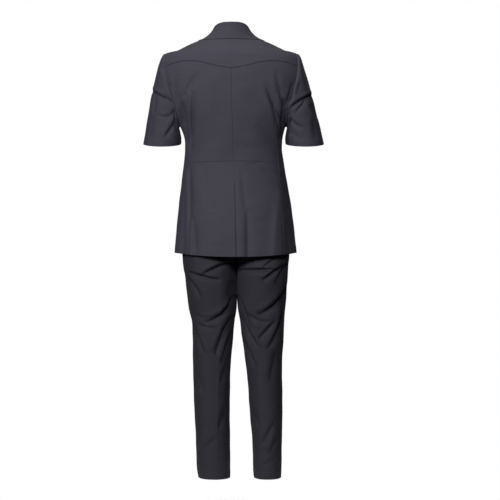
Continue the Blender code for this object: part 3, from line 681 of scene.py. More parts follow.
# %% Folds: jacket body
BODY_FOLDS = folds(1, [
    (108, -119, 157, -201, 5, 6.4, 5.2, 1.2), (127, -180, 142, -372, -3, 5, 10.5, 3),
    (183, -110, 184, -212, 5, 4.8, 3.5, 1), (169, -185, 164, -290, 3, 5.6, 5.1, 1.3),
    (68, -220, 26, -302, 0, 8, 1.8, 0.4), (-108, -150, -158, -352, -6, 5.6, 6, 1.4),
    (-143, -112, -172, -232, 5, 5.6, 4.9, 1.1), (-197, -145, -174, -232, 0, 4, 4, 1),
    (-80, -280, -147, -340, 0, 10.4, 4, 0.8), (-40, -418, -100, -410, 0, 4.8, 1.8, 0.4),
    (5, -350, -100, -364, 0, 8.8, 1.8, 0.4), (141, -420, 150, -660, -4, 5.6, 8.8, 1.9),
    (160, -470, 166, -800, 0, 11, 9.5, 2.6), (128, -580, 117, -760, 0, 6.2, 7.8, 1.5),
    (101, -410, 60, -565, 0, 15, 3.6, 1.2), (63, -535, 43, -610, 0, 8.8, 2, 0.4),
    (-27, -425, -46, -585, 0, 7, 2.4, 0.9), (-49, -560, -52, -790, 0, 8.4, 8.5, 1.8),
    (-58, -603, -130, -597, 0, 9, 1.3, 0.4), (-150, -500, -126, -820, 4, 12, -4.8, 0.1),
    (-94, -434, -176, -457, 0, 9.6, 3.7, 0.7), (-163, -440, -173, -584, 0, 5.6, 4.9, 1),
    (166, -215, 150, -350, 3, 6, 14, 5), (-168, -200, -161, -340, -4, 7, 13.5, 3),
    (-106, -175, -172, -300, -6, 6, 6.3, 1.5), (-184, -430, -190, -820, 0, 15, 11.5, 3),
]) + folds(-1, [
    (172, -110, 140, -215, 4, 7.2, 3.4, 1.2), (188, -150, 168, -260, -3, 5.4, 2.8, 1.1),
    (-168, -105, -143, -205, -4, 7.2, 3, 1.2), (-186, -160, -160, -275, 2, 5.4, 3.2, 1.1),
    (150, -285, 110, -390, 6, 8.1, 3.4, 1.2), (-152, -300, -98, -398, -5, 9, 3, 1.1),
    (30, -352, 105, -372, 4, 9.9, 2, 0.7), (-28, -360, -112, -382, 3, 9, 1.8, 0.7),
    (145, -430, 165, -560, -4, 8.1, 3, 1.1), (-150, -430, -172, -570, 4, 9, 3.2, 1.2),
    (30, -600, 36, -740, 3, 9, 3, 1.1), (-60, -640, -66, -740, 0, 10.8, 3, 1.1),
])
print(len(BODY_FOLDS), "folds on the jacket's body")


def jacket_panel(name, grids, lift=0.0, thick=CLOTH):
    """A panel of the jacket's body, with the body's folds."""
    panel(name, jacket_suiting, jacket, grids, folds=BODY_FOLDS, lift=lift, thick=thick)


def jacket_grid(rows, angle, side, edges):
    """A grid of the body with one row number for each of its rows, mirrored for the right side."""
    return Grid(np.broadcast_to(rows[:, None], angle.shape), mirrored(angle, side), edges)


# %% [markdown]
# ## The back: two halves, a pointed yoke, and a skirt with a vent
#
# A tailor cuts the back in two halves from the waist to the shoulder blades, joined down the middle,
# and sews a yoke over them whose edge dips to a point. Below the waist seam the left half laps over
# the right one as a vent. Each is a grid over the same surface that ends at its own seams, so that
# neighbours fit without being fitted.

# %% Back panels
BLADE_ROW = 8.0  # across the shoulder blades, where shares of the way round are measured
BACK_SPAN = along(lambda share: jacket(BLADE_ROW, back_angle(BLADE_ROW, share)), 0.0, 1.0)
LOW_ROWS = jacket_rows(WAIST, SEAM_TOP_ROW)
BLADE_ROWS = jacket_rows(SEAM_TOP_ROW, YOKE_EDGE_ROW, NO_EXTRA)


def climbing(start, end, rows):
    """Rows that pass from one line across the back to another, in the same steps as rows."""
    return start + (end - start) * as_shares(rows)[:, None]


def back_panel(name, side):
    """Rows from the waist seam to the side seam's end, then rows that rise with the yoke's own line."""
    blade = climbing(SEAM_TOP_ROW, yoke_row(BACK_SPAN), BLADE_ROWS)[1:]
    rows = np.concatenate([np.broadcast_to(LOW_ROWS[:, None], (len(LOW_ROWS), len(BACK_SPAN))), blade])
    angle = back_angle(rows, np.broadcast_to(BACK_SPAN, rows.shape))
    jacket_panel(name, [Grid(rows, mirrored(angle, side), (seam_edge,) * 4)])


for word, side in SIDES:
    back_panel(f"back_{word}", side)

# %% Yoke
YOKE_CLIMB = jacket_rows(YOKE_EDGE_ROW, SHOULDER_ROW)
ROOF_ROWS = jacket_rows(SHOULDER_ROW, NECK, np.array([0.002, 0.006]))
YOKE_LIFT = 0.0003  # the yoke's edge lies on top of the back's


def yoke_lift(row, angle):
    return YOKE_LIFT * fade(0.004, 0.03, distances(jacket(row, angle))[0])


def yoke(name):
    """Both halves at once, from the pointed seam over the shoulders to the neck."""
    shares = np.concatenate([-BACK_SPAN[:0:-1], BACK_SPAN])
    size = np.abs(shares)
    low = climbing(yoke_row(size), SHOULDER_ROW, YOKE_CLIMB)
    roof = np.broadcast_to(ROOF_ROWS[1:, None], (len(ROOF_ROWS) - 1, len(shares)))
    rows = np.concatenate([low, roof])
    angle = mirrored(back_angle(rows, np.broadcast_to(size, rows.shape)), np.where(shares < 0, -1, 1))
    jacket_panel(name, [Grid(rows, angle, (stitched_edge, plain_edge, seam_edge, seam_edge))], yoke_lift)


yoke("back_yoke")

# %% Skirt of the back
VENT_ROW = 3.0
UNDERLAP, UNDERLAP_DROP, UNDERLAP_EASE = 0.030, 0.0022, 0.012
VENT_STANDS, VENT_WIDE = 0.0016, 0.05
SKIRT_ROWS = jacket_rows(HEM, WAIST)
SKIRT_SPAN = jacket_shares(2.0, math.pi / 2, side_seam_angle(2.0))


def underlap_offset(row, angle):
    """The right skirt steps in under the left one, near the vent."""
    x = jacket_upright(row, angle)[..., 0]
    return -UNDERLAP_DROP * fade(0.002, UNDERLAP_EASE, -x) * fade(VENT_ROW - 0.1, VENT_ROW + 0.15, row)


def vent_fullness(row, angle):
    """The left skirt stands off a little along its free edge, most at the hem."""
    x = jacket_upright(row, angle)[..., 0]
    return VENT_STANDS * fade(0.0, VENT_WIDE, x) * fade(HEM, VENT_ROW, row)


def back_skirt(name, side):
    """Below the waist seam. The right one runs on under the left one, below the top of the vent."""
    seam = side_seam_angle(SKIRT_ROWS)
    angle = between(np.full(seam.shape, math.pi / 2), seam, SKIRT_SPAN)
    free_edge = stitched_edge if side > 0 else plain_edge
    grids = [jacket_grid(SKIRT_ROWS, angle, side, (hem_edge, seam_edge, free_edge, seam_edge))]
    if side < 0:
        low = SKIRT_ROWS[SKIRT_ROWS < VENT_ROW]
        start = np.full(low.shape, math.pi / 2)
        lap = between(start, angle_at(low, UNDERLAP, 1), np.linspace(0, 1, steps(UNDERLAP, 3) + 1))
        grids.append(jacket_grid(low, lap, 1, (hem_edge, plain_edge, plain_edge, plain_edge)))
    jacket_panel(name, grids, vent_fullness if side > 0 else underlap_offset)


for word, side in SIDES:
    back_skirt(f"back_skirt_{word}", side)

# %% [markdown]
# ## Fronts
#
# A front runs from its edge at the middle round the side to the side-back seam, in one piece with the
# side. The left one laps over the right one, and each is lifted or lowered by half a layer there.

# %% Front panels
LAP = 0.020  # past the middle
LAP_FLAT, LAP_EASE = 0.022, 0.050
LAP_LIFT = 0.00115  # half a layer
CHEST_LONG, SIDE_WIDE = 0.27, 0.09  # of the cloth there, which sets how many steps it gets
CHEST_TURN = np.linspace(0, math.pi, steps(CHEST_LONG, 12))
CHEST_ROWS = UNDERARM_ROW + (SHOULDER_ROW - UNDERARM_ROW) * (1 - np.cos(CHEST_TURN)) / 2
FRONT_ROWS = np.concatenate([SKIRT_ROWS, jacket_rows(WAIST, UNDERARM_ROW, NO_EXTRA)[1:], CHEST_ROWS[1:],
                             ROOF_ROWS[1:]])
SIDE_ROWS = np.concatenate([FRONT_ROWS[FRONT_ROWS <= UNDERARM_ROW + TINY],
                            jacket_rows(UNDERARM_ROW, SEAM_TOP_ROW - 0.04, NO_EXTRA, angle=0.6)[1:]])


def lap_offset(side):
    """The left front is lifted and the right one lowered, by half a layer each, where they lap."""

    def offset(row, angle):
        x = np.abs(jacket_upright(row, angle)[..., 0])
        return side * LAP_LIFT * fade(LAP_FLAT, LAP_EASE, x) * (np.sin(angle) < 0)

    return offset


def front_panel(name, side):
    """Two grids that meet: round the side from the side-back seam, and on to the edge at the middle."""
    seam = side_seam_angle(SIDE_ROWS)
    round_side = between(seam, armhole_angle(SIDE_ROWS, 1), np.linspace(0, 1, steps(SIDE_WIDE, 4)))
    span = jacket_shares(BLADE_ROW, armhole_angle(BLADE_ROW, -1), angle_at(BLADE_ROW, -LAP, -1))
    front = between(armhole_angle(FRONT_ROWS, -1), angle_at(FRONT_ROWS, -LAP, -1), span)
    jacket_panel(name, [
        jacket_grid(SIDE_ROWS, round_side, side, (hem_edge, plain_edge, seam_edge, plain_edge)),
        jacket_grid(FRONT_ROWS, front, side, (hem_edge, plain_edge, plain_edge, stitched_edge)),
    ], lap_offset(side))


for word, side in SIDES:
    front_panel(f"front_{word}", side)

# %% [markdown]
# ## Pockets
#
# Four patch pockets lie on the fronts, each with a straight flap over its mouth. A patch is made from
# the front's own surface, a layer further out, so it lies on every fold of the front below it.

# %% Patch pockets and flaps
Patch = namedtuple("Patch", "low high layers edges")  # jacket rows, and how many layers out it lies
POCKET_EDGES = (stitched_edge, plain_edge, stitched_edge, stitched_edge)
PATCHES = {
    "chest_pocket": Patch(4.985, 7.58, 1, POCKET_EDGES),
    "chest_flap": Patch(6.73, 7.58, 2, (stitched_edge,) * 4),
    "hip_pocket": Patch(0.571, 2.857, 1, POCKET_EDGES),
    "hip_flap": Patch(2.286, 2.857, 2, (stitched_edge,) * 4),
}
POCKET_CLOTH = 0.0009
POCKET_OUTER = 0.2  # a pocket's outer edge, as a share of the way from the front's side to its lap
POCKET_REACH = 0.15  # from the middle, about where that edge is
PLEAT_HALF, PLEAT_LIFT = 0.013, 0.0009  # the chest pockets' box pleat


def patch_grid(patch, side):
    """Rows of a patch, and angles from its outer edge to where the fronts' lap begins."""
    middle = (patch.low + patch.high) / 2
    rows = jacket_rows(patch.low, patch.high, angle=-1.0)
    start, end = armhole_angle(rows, -1), angle_at(rows, LAP_EASE, -1)
    span = jacket_shares(middle, angle_at(middle, POCKET_REACH, -1), angle_at(middle, LAP_EASE, -1))
    return jacket_grid(rows, between(start + (end - start) * POCKET_OUTER, end, span), side, patch.edges)


def patch_lift(patch, side, pleated):
    """Whole layers out from the front, and for a pleated pocket a raised strip down its middle."""
    front = lap_offset(side)

    def lift(row, angle):
        _, _, left, right = distances(jacket(row, angle))
        pleat = PLEAT_LIFT * fade(PLEAT_HALF - 0.0004, PLEAT_HALF + 0.0012, np.abs(left - right) / 2)
        return front(row, angle) + patch.layers * LAYER + pleat * pleated

    return lift


for word, side in SIDES:
    for part, patch in PATCHES.items():
        lift = patch_lift(patch, side, part == "chest_pocket")
        jacket_panel(f"{part}_{word}", [patch_grid(patch, side)], lift, POCKET_CLOTH)

# %% [markdown]
# ## Sleeves
#
# A short set-in sleeve is a tube from the armhole seam to the cuff. It starts square to the armhole,
# carries on outwards a little as the head's fullness, and turns down. The bend of the elbow is just
# below the cuff, so the cloth buckles across the sleeve's back at half its length.

# %% The sleeve's surface
CUFF = np.array([0.2365, -0.026, -0.3410])
CUFF_ACROSS, CUFF_DEEP, CUFF_DROP = 0.0625, 0.066, math.radians(12)
ARMHOLE_OUT = np.array([0.973, 0.0, -0.231])
ARM_DOWN = np.array([0.20, -0.14, -0.97])
SLEEVE_START, SLEEVE_STANDS = 0.004, 0.00075
SLEEVE_SEAM = 0.02
TUCK_DEEP, TUCK_LONG = 0.0019, 0.005
SLEEVE_ROPE, UNDERARM_DROP = 0.22, 0.30  # how far the head stands out, and how much less so under the arm


def cubic(start, end, leave, reach, u):
    """A curve from start, which it leaves along leave, to end, which it reaches along reach."""
    return (start * (1 + 2 * u) * (1 - u) ** 2 + end * u * u * (3 - 2 * u)
            + leave * u * (1 - u) ** 2 - reach * u * u * (1 - u))


def sleeve_surface(side):
    """A cubic curve for each place round the armhole: it leaves the seam along ARMHOLE_OUT and reaches the
    cuff's ellipse along ARM_DOWN. Down is 0 just outside the seam and 1 at the cuff; from -SLEEVE_SEAM, at
    the seam, to -2 SLEEVE_SEAM it tucks in behind the body's cloth. Turn 0 is under the arm."""

    def surface(down, turn):
        turn = np.mod(turn, 2 * math.pi)
        row = UNDERARM_ROW + (SHOULDER_ROW - UNDERARM_ROW) * (1 - np.cos(turn)) / 2
        angle = np.where(turn < math.pi, armhole_angle(row, 1), armhole_angle(row, -1))
        out = -across_surface(jacket_upright, row, angle)
        clear = SEAM + SLEEVE_STANDS * np.maximum(out @ ARMHOLE_OUT, 0.0)
        head = jacket_upright(row, angle) + (clear + SLEEVE_START)[..., None] * ARMHOLE_OUT
        deep = CUFF_DEEP * np.sin(turn)
        cuff = CUFF + np.stack([-CUFF_ACROSS * np.cos(turn), deep * math.cos(CUFF_DROP),
                                -deep * math.sin(CUFF_DROP)], axis=-1)
        length = np.linalg.norm(cuff - head, axis=-1, keepdims=True)
        rope = SLEEVE_ROPE - UNDERARM_DROP * ease(0.4, 1.0, np.cos(turn))[..., None]
        u = np.maximum(down, 0.0)[..., None]
        curve = cubic(head, cuff, length * rope * ARMHOLE_OUT, length * ARM_DOWN, u)
        back = np.clip(-down / SLEEVE_SEAM, 0, 1)[..., None]
        tuck = np.clip(-down / SLEEVE_SEAM - 1.02, 0, 1)[..., None]
        inside = -TUCK_DEEP * out * (tuck > 0) - TUCK_LONG * tuck * ARMHOLE_OUT
        point = np.where(down[..., None] < 0, head - back * SLEEVE_START * ARMHOLE_OUT + inside, curve)
        point[..., 0] = side * point[..., 0] + lean(point[..., 2])
        return point

    return surface


# %% Folds: sleeves
SLEEVE_FOLDS = {
    "left": folds(1, [
        (274, -158, 196, -213, -6, 4, 11, 4.4), (254, -174, 260, -246, 0, 4.3, 5.8, 2),
        (220, -192, 184, -238, 0, 3.8, 7.2, 2.2), (246, -250, 184, -226, -20, 4.3, 5.8, 2),
        (222, -326, 180, -264, 0, 4.5, 7.8, 2.6), (192, -228, 179, -312, 0, 5.7, 10.1, 1.1),
        (245, -188, 192, -206, 4, 3.3, 4.3, 1.4), (233, -84, 226, -116, 0, 3.8, 3.5, 1.1),
        (266, -250, 271, -335, 0, 6.6, 2.3, 0.8),
    ]) + folds(-1, [
        (270, -168, 206, -214, 4, 5.1, 5.3, 1.5), (256, -200, 184, -232, -3, 5.1, 4.6, 1.3),
        (180, -262, 236, -292, 4, 6.8, 5.1, 1.3), (226, -300, 236, -356, 0, 8.5, 2.6, 0.7),
    ]),
    "right": folds(1, [
        (-182, -234, -276, -176, 3, 4.3, 10.9, 4.2), (-254, -216, -281, -262, 0, 4.7, 9.8, 2.5),
        (-243, -198, -204, -243, -3, 3.8, 6.7, 2), (-184, -262, -232, -294, -4, 4.3, 8, 2.6),
        (-186, -232, -180, -316, 0, 6.6, 11.2, 1.1), (-230, -62, -254, -168, 0, 8.5, 6.4, 2),
        (-266, -250, -272, -330, 0, 7.6, 4.2, 1.4), (-222, -140, -212, -186, 0, 5.7, 3.4, 1.4),
        (-190, -302, -226, -340, 0, 6.6, 2.8, 1.1),
    ]) + folds(-1, [
        (-272, -172, -204, -220, -4, 5.1, 5.5, 1.6), (-250, -212, -186, -238, 3, 5.5, 4.4, 1.2),
        (-182, -270, -240, -296, 4, 6.8, 5.1, 1.2), (-240, -304, -246, -356, 0, 8.5, 2.6, 0.7),
    ]),
}

# %% Sleeve panels
SLEEVE_ROUND = 0.46
OUTER_BACK = math.pi * 0.6  # the turn on which a sleeve's rows are spaced


def set_in_edge(d):
    """A seam's groove, as far from the panel's edge as the tucked allowance is long."""
    return seam_edge(np.abs(d - TUCK_LONG - TUCK_DEEP))


def sleeve(name, side, folds):
    """A closed tube: rows down it from the armhole to the cuff, and a full turn round it."""
    surface = sleeve_surface(side)
    outside = along(line_on(surface, q=OUTER_BACK), 0.0, 1.0)
    down = np.concatenate([[-2 * SLEEVE_SEAM, -1.03 * SLEEVE_SEAM, -SLEEVE_SEAM], outside])
    turns = np.linspace(0, 2 * math.pi, steps(SLEEVE_ROUND, 12))
    grid = full_grid(down, turns, (set_in_edge, hem_edge, plain_edge, plain_edge))
    panel(name, jacket_suiting, surface, [grid], (side * CUFF[0], CUFF[1]), folds)


for word, side in SIDES:
    sleeve(f"sleeve_{word}", side, SLEEVE_FOLDS[word])

# %% [markdown]
# ## Collar
#
# The stand rises from the neck seam, and the fall turns over its top edge and comes down to lie just
# clear of the shoulders. Its lower edge follows the jacket's surface from the middle of the back to the
# collar's two points.

# %% Collar
FOLD_HALF_WIDTH, FOLD_BACK, FOLD_FRONT = 0.0555, 0.050, 0.068
FOLD_SIDE_Z, FOLD_BACK_Z, FOLD_FRONT_Z = 0.0405, 0.0530, -0.040
STAND_CLEAR, COLLAR_CLEAR = 0.0012, 0.0015
COLLAR_END = math.radians(-84)
COLLAR_EDGE = [  # turn, and the jacket's row and angle below it, and how far the leaf hollows
    (0.0, 14.70, 90, 0.0010), (0.25, 14.30, 48, 0.0030), (0.50, 13.95, 0, 0.0070),
    (0.70, 13.20, -36, 0.0060), (0.88, 11.60, -66, 0.0030), (1.0, 10.30, -78, 0.0010),
]


def collar_turn(turn):
    """The angle round the neck: turn 0 is the middle back, 1 the left end and -1 the right end."""
    return math.pi / 2 + (COLLAR_END - math.pi / 2) * turn


def neck_edge(angle):
    """The foot of the stand, just inside the neck seam."""
    inwards = unit(jacket(NECK + TINY, angle) - jacket(NECK - TINY, angle))
    clear = STAND_CLEAR + LAYER * ease(0.3, 0.8, -np.sin(angle))
    return jacket(NECK, angle) + clear[..., None] * inwards


def fold_line(angle, out=0.0):
    """The collar's fold: an ellipse that is nearly level at the back and dips to the front."""
    up, across = np.sin(angle), np.cos(angle)
    y = np.where(up > 0, FOLD_BACK + out, FOLD_FRONT + out) * up
    rise = (FOLD_BACK_Z - FOLD_SIDE_Z) * (1 - across ** 4)
    z = FOLD_SIDE_Z + np.where(up > 0, rise, (FOLD_FRONT_Z - FOLD_SIDE_Z) * up ** 2)
    return np.stack([(FOLD_HALF_WIDTH + out) * across + lean(z), y, z], axis=-1)


def stand_surface(up, turn):
    """Straight lines from the neck seam to the fold."""
    angle = collar_turn(turn)
    foot, fold = neck_edge(angle), fold_line(angle)
    return foot + (fold - foot) * up[..., None]


def fall_surface(down, turn):
    """Lines from the fold to an edge held COLLAR_CLEAR over the jacket, hollowed by 4 d (1 - d) sag."""
    _, row, degrees, sag = read(COLLAR_EDGE, np.abs(turn), key=0)
    angle = mirrored(np.radians(degrees), np.where(turn < 0, -1, 1))
    edge = jacket(row, angle) - COLLAR_CLEAR * across_surface(jacket, row, angle)
    fold = fold_line(collar_turn(turn), out=LAYER)
    inwards = np.stack([-np.cos(angle), -np.sin(angle), -np.ones_like(angle)], axis=-1) / math.sqrt(2)
    hollow = (4 * down * (1 - down) * sag)[..., None]
    return fold + (edge - fold) * down[..., None] + inwards * hollow


COLLAR_TURNS = along(line_on(fall_surface, p=0.5), -1.0, 1.0)
FALL_DOWN = along(line_on(fall_surface, q=0.01), 0.0, 1.0)
STAND_UP = np.linspace(0, 1, 8)
for name, surface, ups, edges in (
        ("collar_stand", stand_surface, STAND_UP, (seam_edge, plain_edge, plain_edge, plain_edge)),
        ("collar_fall", fall_surface, FALL_DOWN, (plain_edge, stitched_edge, stitched_edge, stitched_edge))):
    panel(name, jacket_suiting, surface, [full_grid(ups, COLLAR_TURNS, edges)])

# %% [markdown]
# ## Trousers
#
# Each leg has a back and a front, joined at the side seam and the inseam. At the hips the two legs are
# one ring; below the seat each has a ring of its own, and the surface passes smoothly from the one to
# the other. A crease is pressed down the middle of every panel.

# %% The trousers' surface
HIPS = [  # height, half the width, and the depth of the back and of the front
    (-0.430, 0.1490, 0.092, 0.100), (-0.480, 0.1540, 0.098, 0.102), (-0.560, 0.1680, 0.112, 0.105),
    (-0.640, 0.1745, 0.120, 0.106), (-0.710, 0.1760, 0.119, 0.104), (-0.790, 0.1700, 0.110, 0.100),
]
LEG = [  # height, inner edge, outer edge of the left and of the right leg, depth of back and front, middle's y
    (-0.640, 0.0002, 0.1745, 0.1745, 0.118, 0.098, 0.000),
    (-0.710, 0.0002, 0.1758, 0.1762, 0.114, 0.096, 0.000),
    (-0.770, 0.0002, 0.1715, 0.1695, 0.106, 0.092, 0.000),
    (-0.825, 0.0002, 0.1660, 0.1645, 0.098, 0.090, 0.000),
    (-0.875, 0.0006, 0.1600, 0.1600, 0.092, 0.086, 0.000),
    (-0.925, 0.0085, 0.1505, 0.1550, 0.087, 0.082, 0.000),
    (-0.970, 0.0135, 0.1490, 0.1520, 0.083, 0.078, 0.001),
    (-1.060, 0.0240, 0.1485, 0.1455, 0.076, 0.072, 0.004),
    (-1.110, 0.0285, 0.1485, 0.1430, 0.073, 0.070, 0.008),
    (-1.210, 0.0325, 0.1490, 0.1398, 0.070, 0.066, 0.014),
    (-1.350, 0.0375, 0.1475, 0.1330, 0.067, 0.062, 0.014),
    (-1.415, 0.0385, 0.1460, 0.1300, 0.066, 0.061, 0.010),
    (-1.441, 0.0400, 0.1430, 0.1275, 0.065, 0.060, 0.008),
]
HIP_SQUARE, LEG_SQUARE = 2.3, 2.15
CROTCH_TOP, CROTCH_END = -0.635, -0.775
BAND_TOP, BAND_END = -0.440, -0.482
TROUSER_HEM = -1.440
LEG_MIDDLE = 0.08  # a leg's axis, which its cloth faces away from


def hip_ring(z, angle):
    """A ring round both hips: half_width cos^(2/n) across and depth sin^(2/n) deep."""
    _, half_width, back, front = read(HIPS, z, key=0)
    x = half_width * power(np.cos(angle), 2 / HIP_SQUARE)
    y = np.where(np.sin(angle) > 0, back, front) * power(np.sin(angle), 2 / HIP_SQUARE)
    return np.stack([x + lean(z), y, z], axis=-1)


def leg_surface(side, face):
    """Half of a ring round one leg, blended with the ring round the hips by ease(CROTCH_TOP, CROTCH_END, z).
    Face 1 is the back and -1 the front; share 0 is the seat seam and inseam, share 1 the side seam."""

    def surface(z, share):
        _, inner, left_outer, right_outer, back, front, middle_y = read(LEG, z, key=0)
        outer = left_outer if side > 0 else right_outer
        depth = back if face > 0 else front
        turn = math.pi * (1 - share)
        leg_x = (inner + outer) / 2 + (outer - inner) / 2 * power(np.cos(turn), 2 / LEG_SQUARE)
        leg_y = middle_y + face * depth * power(np.sin(turn), 2 / LEG_SQUARE)
        hip = hip_ring(z, math.pi / 2 * (1 - share) * face)
        parting = ease(CROTCH_TOP, CROTCH_END, z)
        hip_x = hip[..., 0] - lean(z)
        x = hip_x + (leg_x - hip_x) * parting
        y = hip[..., 1] + (leg_y - hip[..., 1]) * parting
        return np.stack([side * x + lean(z), y, z], axis=-1)

    return surface


def clear_leg(side, face):
    """The places of the same cloth, held clear of the other leg's."""
    surface = leg_surface(side, face)

    def held(z, share):
        point = surface(z, share)
        least = SEAM * ease(CROTCH_END + 0.05, CROTCH_END, z)
        inside = side * (point[..., 0] - lean(point[..., 2]))
        point[..., 0] += side * np.maximum(least - inside, 0.0)
        return point

    return held


# %% Folds: trousers
LEG_FOLDS = folds(1, [
    (12, -734, 100, -775, 3, 4.2, 13.5, 4.2), (150, -762, 36, -791, -3, 4, 13.5, 3.6),
    (166, -765, 102, -848, -4, 5.5, 13, -3.2), (-8, -838, 92, -930, -18, 5.3, 16, 4.2),
    (118, -904, 43, -891, -16, 5, 3.9, 0.8), (118, -935, 53, -950, 0, 5, 4.8, 1.1),
    (142, -912, 92, -1030, 2, 5.5, 11.2, -2.6), (-4, -905, 55, -1036, 6, 6.4, 14.4, 3.2),
    (-4, -945, 34, -1062, 0, 5, 9.7, 1.9), (10, -1035, 37, -1127, 0, 5, 5.7, 1.2),
    (7, -1172, 47, -1282, 0, 7.9, 6.4, 1.4), (115, -1354, 43, -1297, 0, 7.1, 5.5, 1.2),
    (119, -1088, 92, -1170, 0, 7.9, 4.2, 0.9), (2, -790, 10, -866, 0, 8, 8, 0.8),
    (-16, -758, -141, -756, 0, 3.6, 13.5, 3.6), (-169, -741, -96, -793, 0, 4.2, 13.8, 3.6),
    (-143, -716, -98, -751, 0, 3.2, 7.1, 1.4), (-185, -728, -140, -803, 0, 5, 9, 1.4),
    (-184, -800, -77, -906, -19, 7.1, 16.1, 4.1), (-40, -893, -126, -926, -10, 5, 5.5, 1.5),
    (-140, -923, -84, -984, 0, 4.3, 9.7, 1.9), (-168, -844, -113, -1016, -18, 5.7, 13.9, 2.6),
    (-18, -838, -59, -951, 2, 5.5, 10.2, -2.4), (-22, -898, -87, -1012, 5, 4.5, 10, -2.4),
    (-28, -974, -73, -1075, 0, 6, 11.2, -2.6), (-47, -950, -65, -1030, 0, 5, 3.9, 0.9),
    (-144, -1015, -122, -1130, 0, 10, 6.7, 1.4), (-50, -1195, -86, -1270, 0, 7.1, 5.5, 1.2),
    (-138, -1250, -98, -1326, 0, 7.1, 6.7, 1.4), (-158, -1280, -121, -1356, 0, 6.4, 5.7, 1.2),
    (-143, -1373, -84, -1399, 0, 6.4, 4.8, 1.2),
]) + folds(-1, [
    (10, -700, 85, -665, 4, 5.6, 5.5, 1.5), (6, -735, 100, -716, 6, 6.4, 6.2, 1.7),
    (-30, -705, -110, -676, 5, 5.6, 5.3, 1.4), (-28, -748, -125, -722, 6, 6.8, 6.6, 1.7),
    (150, -820, 80, -880, 6, 7.2, 4.8, 1.4), (-165, -830, -100, -900, 6, 7.2, 5.5, 1.5),
    (4, -860, 50, -960, 4, 6.4, 6.2, 1.5), (-30, -870, -72, -975, 3, 6.4, 5.5, 1.5),
    (120, -985, 40, -1020, 8, 8, 5.3, 1.5), (112, -1040, 34, -1050, -6, 7.2, 4.4, 1.2),
    (-150, -1000, -72, -1028, 8, 8, 5.5, 1.5), (-148, -1060, -66, -1066, -6, 7.2, 4.4, 1.2),
    (108, -1300, 30, -1345, 4, 8, 4.4, 1.2), (-142, -1330, -80, -1368, 4, 8, 4.4, 1.2),
])
LEG_FOLDS += folds(1, [  # the pressed creases
    (33, -700, 53, -1520, 3, 3.6, -1.7, 0.1), (-69, -700, -93, -1520, -3, 3.6, -1.7, 0.1),
]) + folds(-1, [
    (60, -480, 53, -1520, 3, 3.6, -1.7, 0.1), (-80, -480, -112, -1520, -3, 3.6, -1.7, 0.1),
])

# %% Leg panels
BACK_FINER = 0.76  # the backs have more folds than the fronts, so a finer grid


def strip(name, side, face, rows, span, edges, spacing=SPACING, lift=0.0):
    """Part of a leg's surface, from one height to another and from one share round it to another. Each span is
    start, end, and where on the other number it is measured."""
    surface, place = leg_surface(side, face), clear_leg(side, face)
    heights = along(line_on(surface, q=rows[2]), *rows[:2], spacing)
    shares = along(line_on(surface, p=span[2]), *span[:2], spacing)
    grid = full_grid(heights, shares, edges)
    panel(name, trouser_suiting, surface, [grid], (side * LEG_MIDDLE, 0), LEG_FOLDS, lift, place)


for word, side in SIDES:
    for part, face, spacing in (("back", 1, SPACING * BACK_FINER), ("front", -1, SPACING)):
        strip(f"trouser_{part}_{word}", side, face, (TROUSER_HEM, BAND_END, 0.5), (0.0, 1.0, -1.0),
              (hem_edge, seam_edge, plain_edge, seam_edge), spacing)

# %% Waistband and fly
BAND_FROM = -math.pi / 2 - math.radians(6)
BAND_TO = 3 * math.pi / 2 + math.radians(9)
BAND_ROUND = 0.85
FLY_END, FLY_SHARE = -0.635, 1 / 6


def band_offset(z, angle):
    """The band's left end lies over its right end."""
    over = fade(BAND_FROM + math.radians(14), BAND_FROM + math.radians(20), angle)
    under = ease(BAND_TO - math.radians(26), BAND_TO - math.radians(20), angle)
    return LAP_LIFT * (over - under)


band_rows = along(line_on(hip_ring, q=0.3), BAND_END + SEAM, BAND_TOP, near=NEAR[:3])
around = np.linspace(BAND_FROM, BAND_TO, steps(BAND_ROUND, 12))
band = full_grid(band_rows, around, (seam_edge, plain_edge, plain_edge, plain_edge))
panel("waistband", trouser_suiting, hip_ring, [band], lift=band_offset)

# The fly is a strip of the left front's own surface beside its middle seam, a layer further out.
strip("fly", 1, -1, (FLY_END, BAND_END, 0.1), (0.0, FLY_SHARE, -0.55),
      (stitched_edge, seam_edge, plain_edge, stitched_edge), lift=LAYER)

# %% [markdown]
# ## Topstitching
#
# A safari suit is stitched along the edges of its collar, yoke, fronts, vent, pockets and flaps. A
# line of stitches could be painted as a bump, but a stitch is a thing: a short lens of thread that
# dives into the cloth at both ends. All the stitches of one garment are one mesh, made from one lens.

# %% One lens of thread
Thread = namedtuple("Thread", "half_length half_width height")
STITCH = Thread(0.00135, 0.00026, 0.00022)
LENS_SIDES = 5
LENS_RINGS = np.array([-0.72, 0.0, 0.72])


def lenses(centre, way, up, size):
    """Lens-shaped bodies at centre along way: at the share s of its half length a lens is sqrt(1 - s^2) of its
    half width round, and its middle line is height (1 - s^2) - half the width up."""
    beside = unit(np.cross(way, up))
    turn = np.arange(LENS_SIDES) * 2 * math.pi / LENS_SIDES
    round_ = size.half_width * np.sqrt(1 - LENS_RINGS ** 2)
    arch = size.height * (1 - LENS_RINGS ** 2) - size.half_width * 0.5
    s = np.concatenate([np.repeat(LENS_RINGS, LENS_SIDES), [-1, 1]]) * size.half_length
    side = np.concatenate([np.outer(round_, np.cos(turn)).ravel(), [0, 0]])
    high = np.concatenate([(arch[:, None] + np.outer(round_, np.sin(turn))).ravel(), [-size.half_width] * 2])
    points = (centre[:, None] + s[:, None] * way[:, None] + side[:, None] * beside[:, None]
              + high[:, None] * up[:, None])
    quads, tips = tube_faces(len(LENS_RINGS), LENS_SIDES)
    start = (np.arange(len(centre)) * len(s))[:, None, None]
    return points.reshape(-1, 3), (quads + start).reshape(-1, 4), (tips + start).reshape(-1, 3)


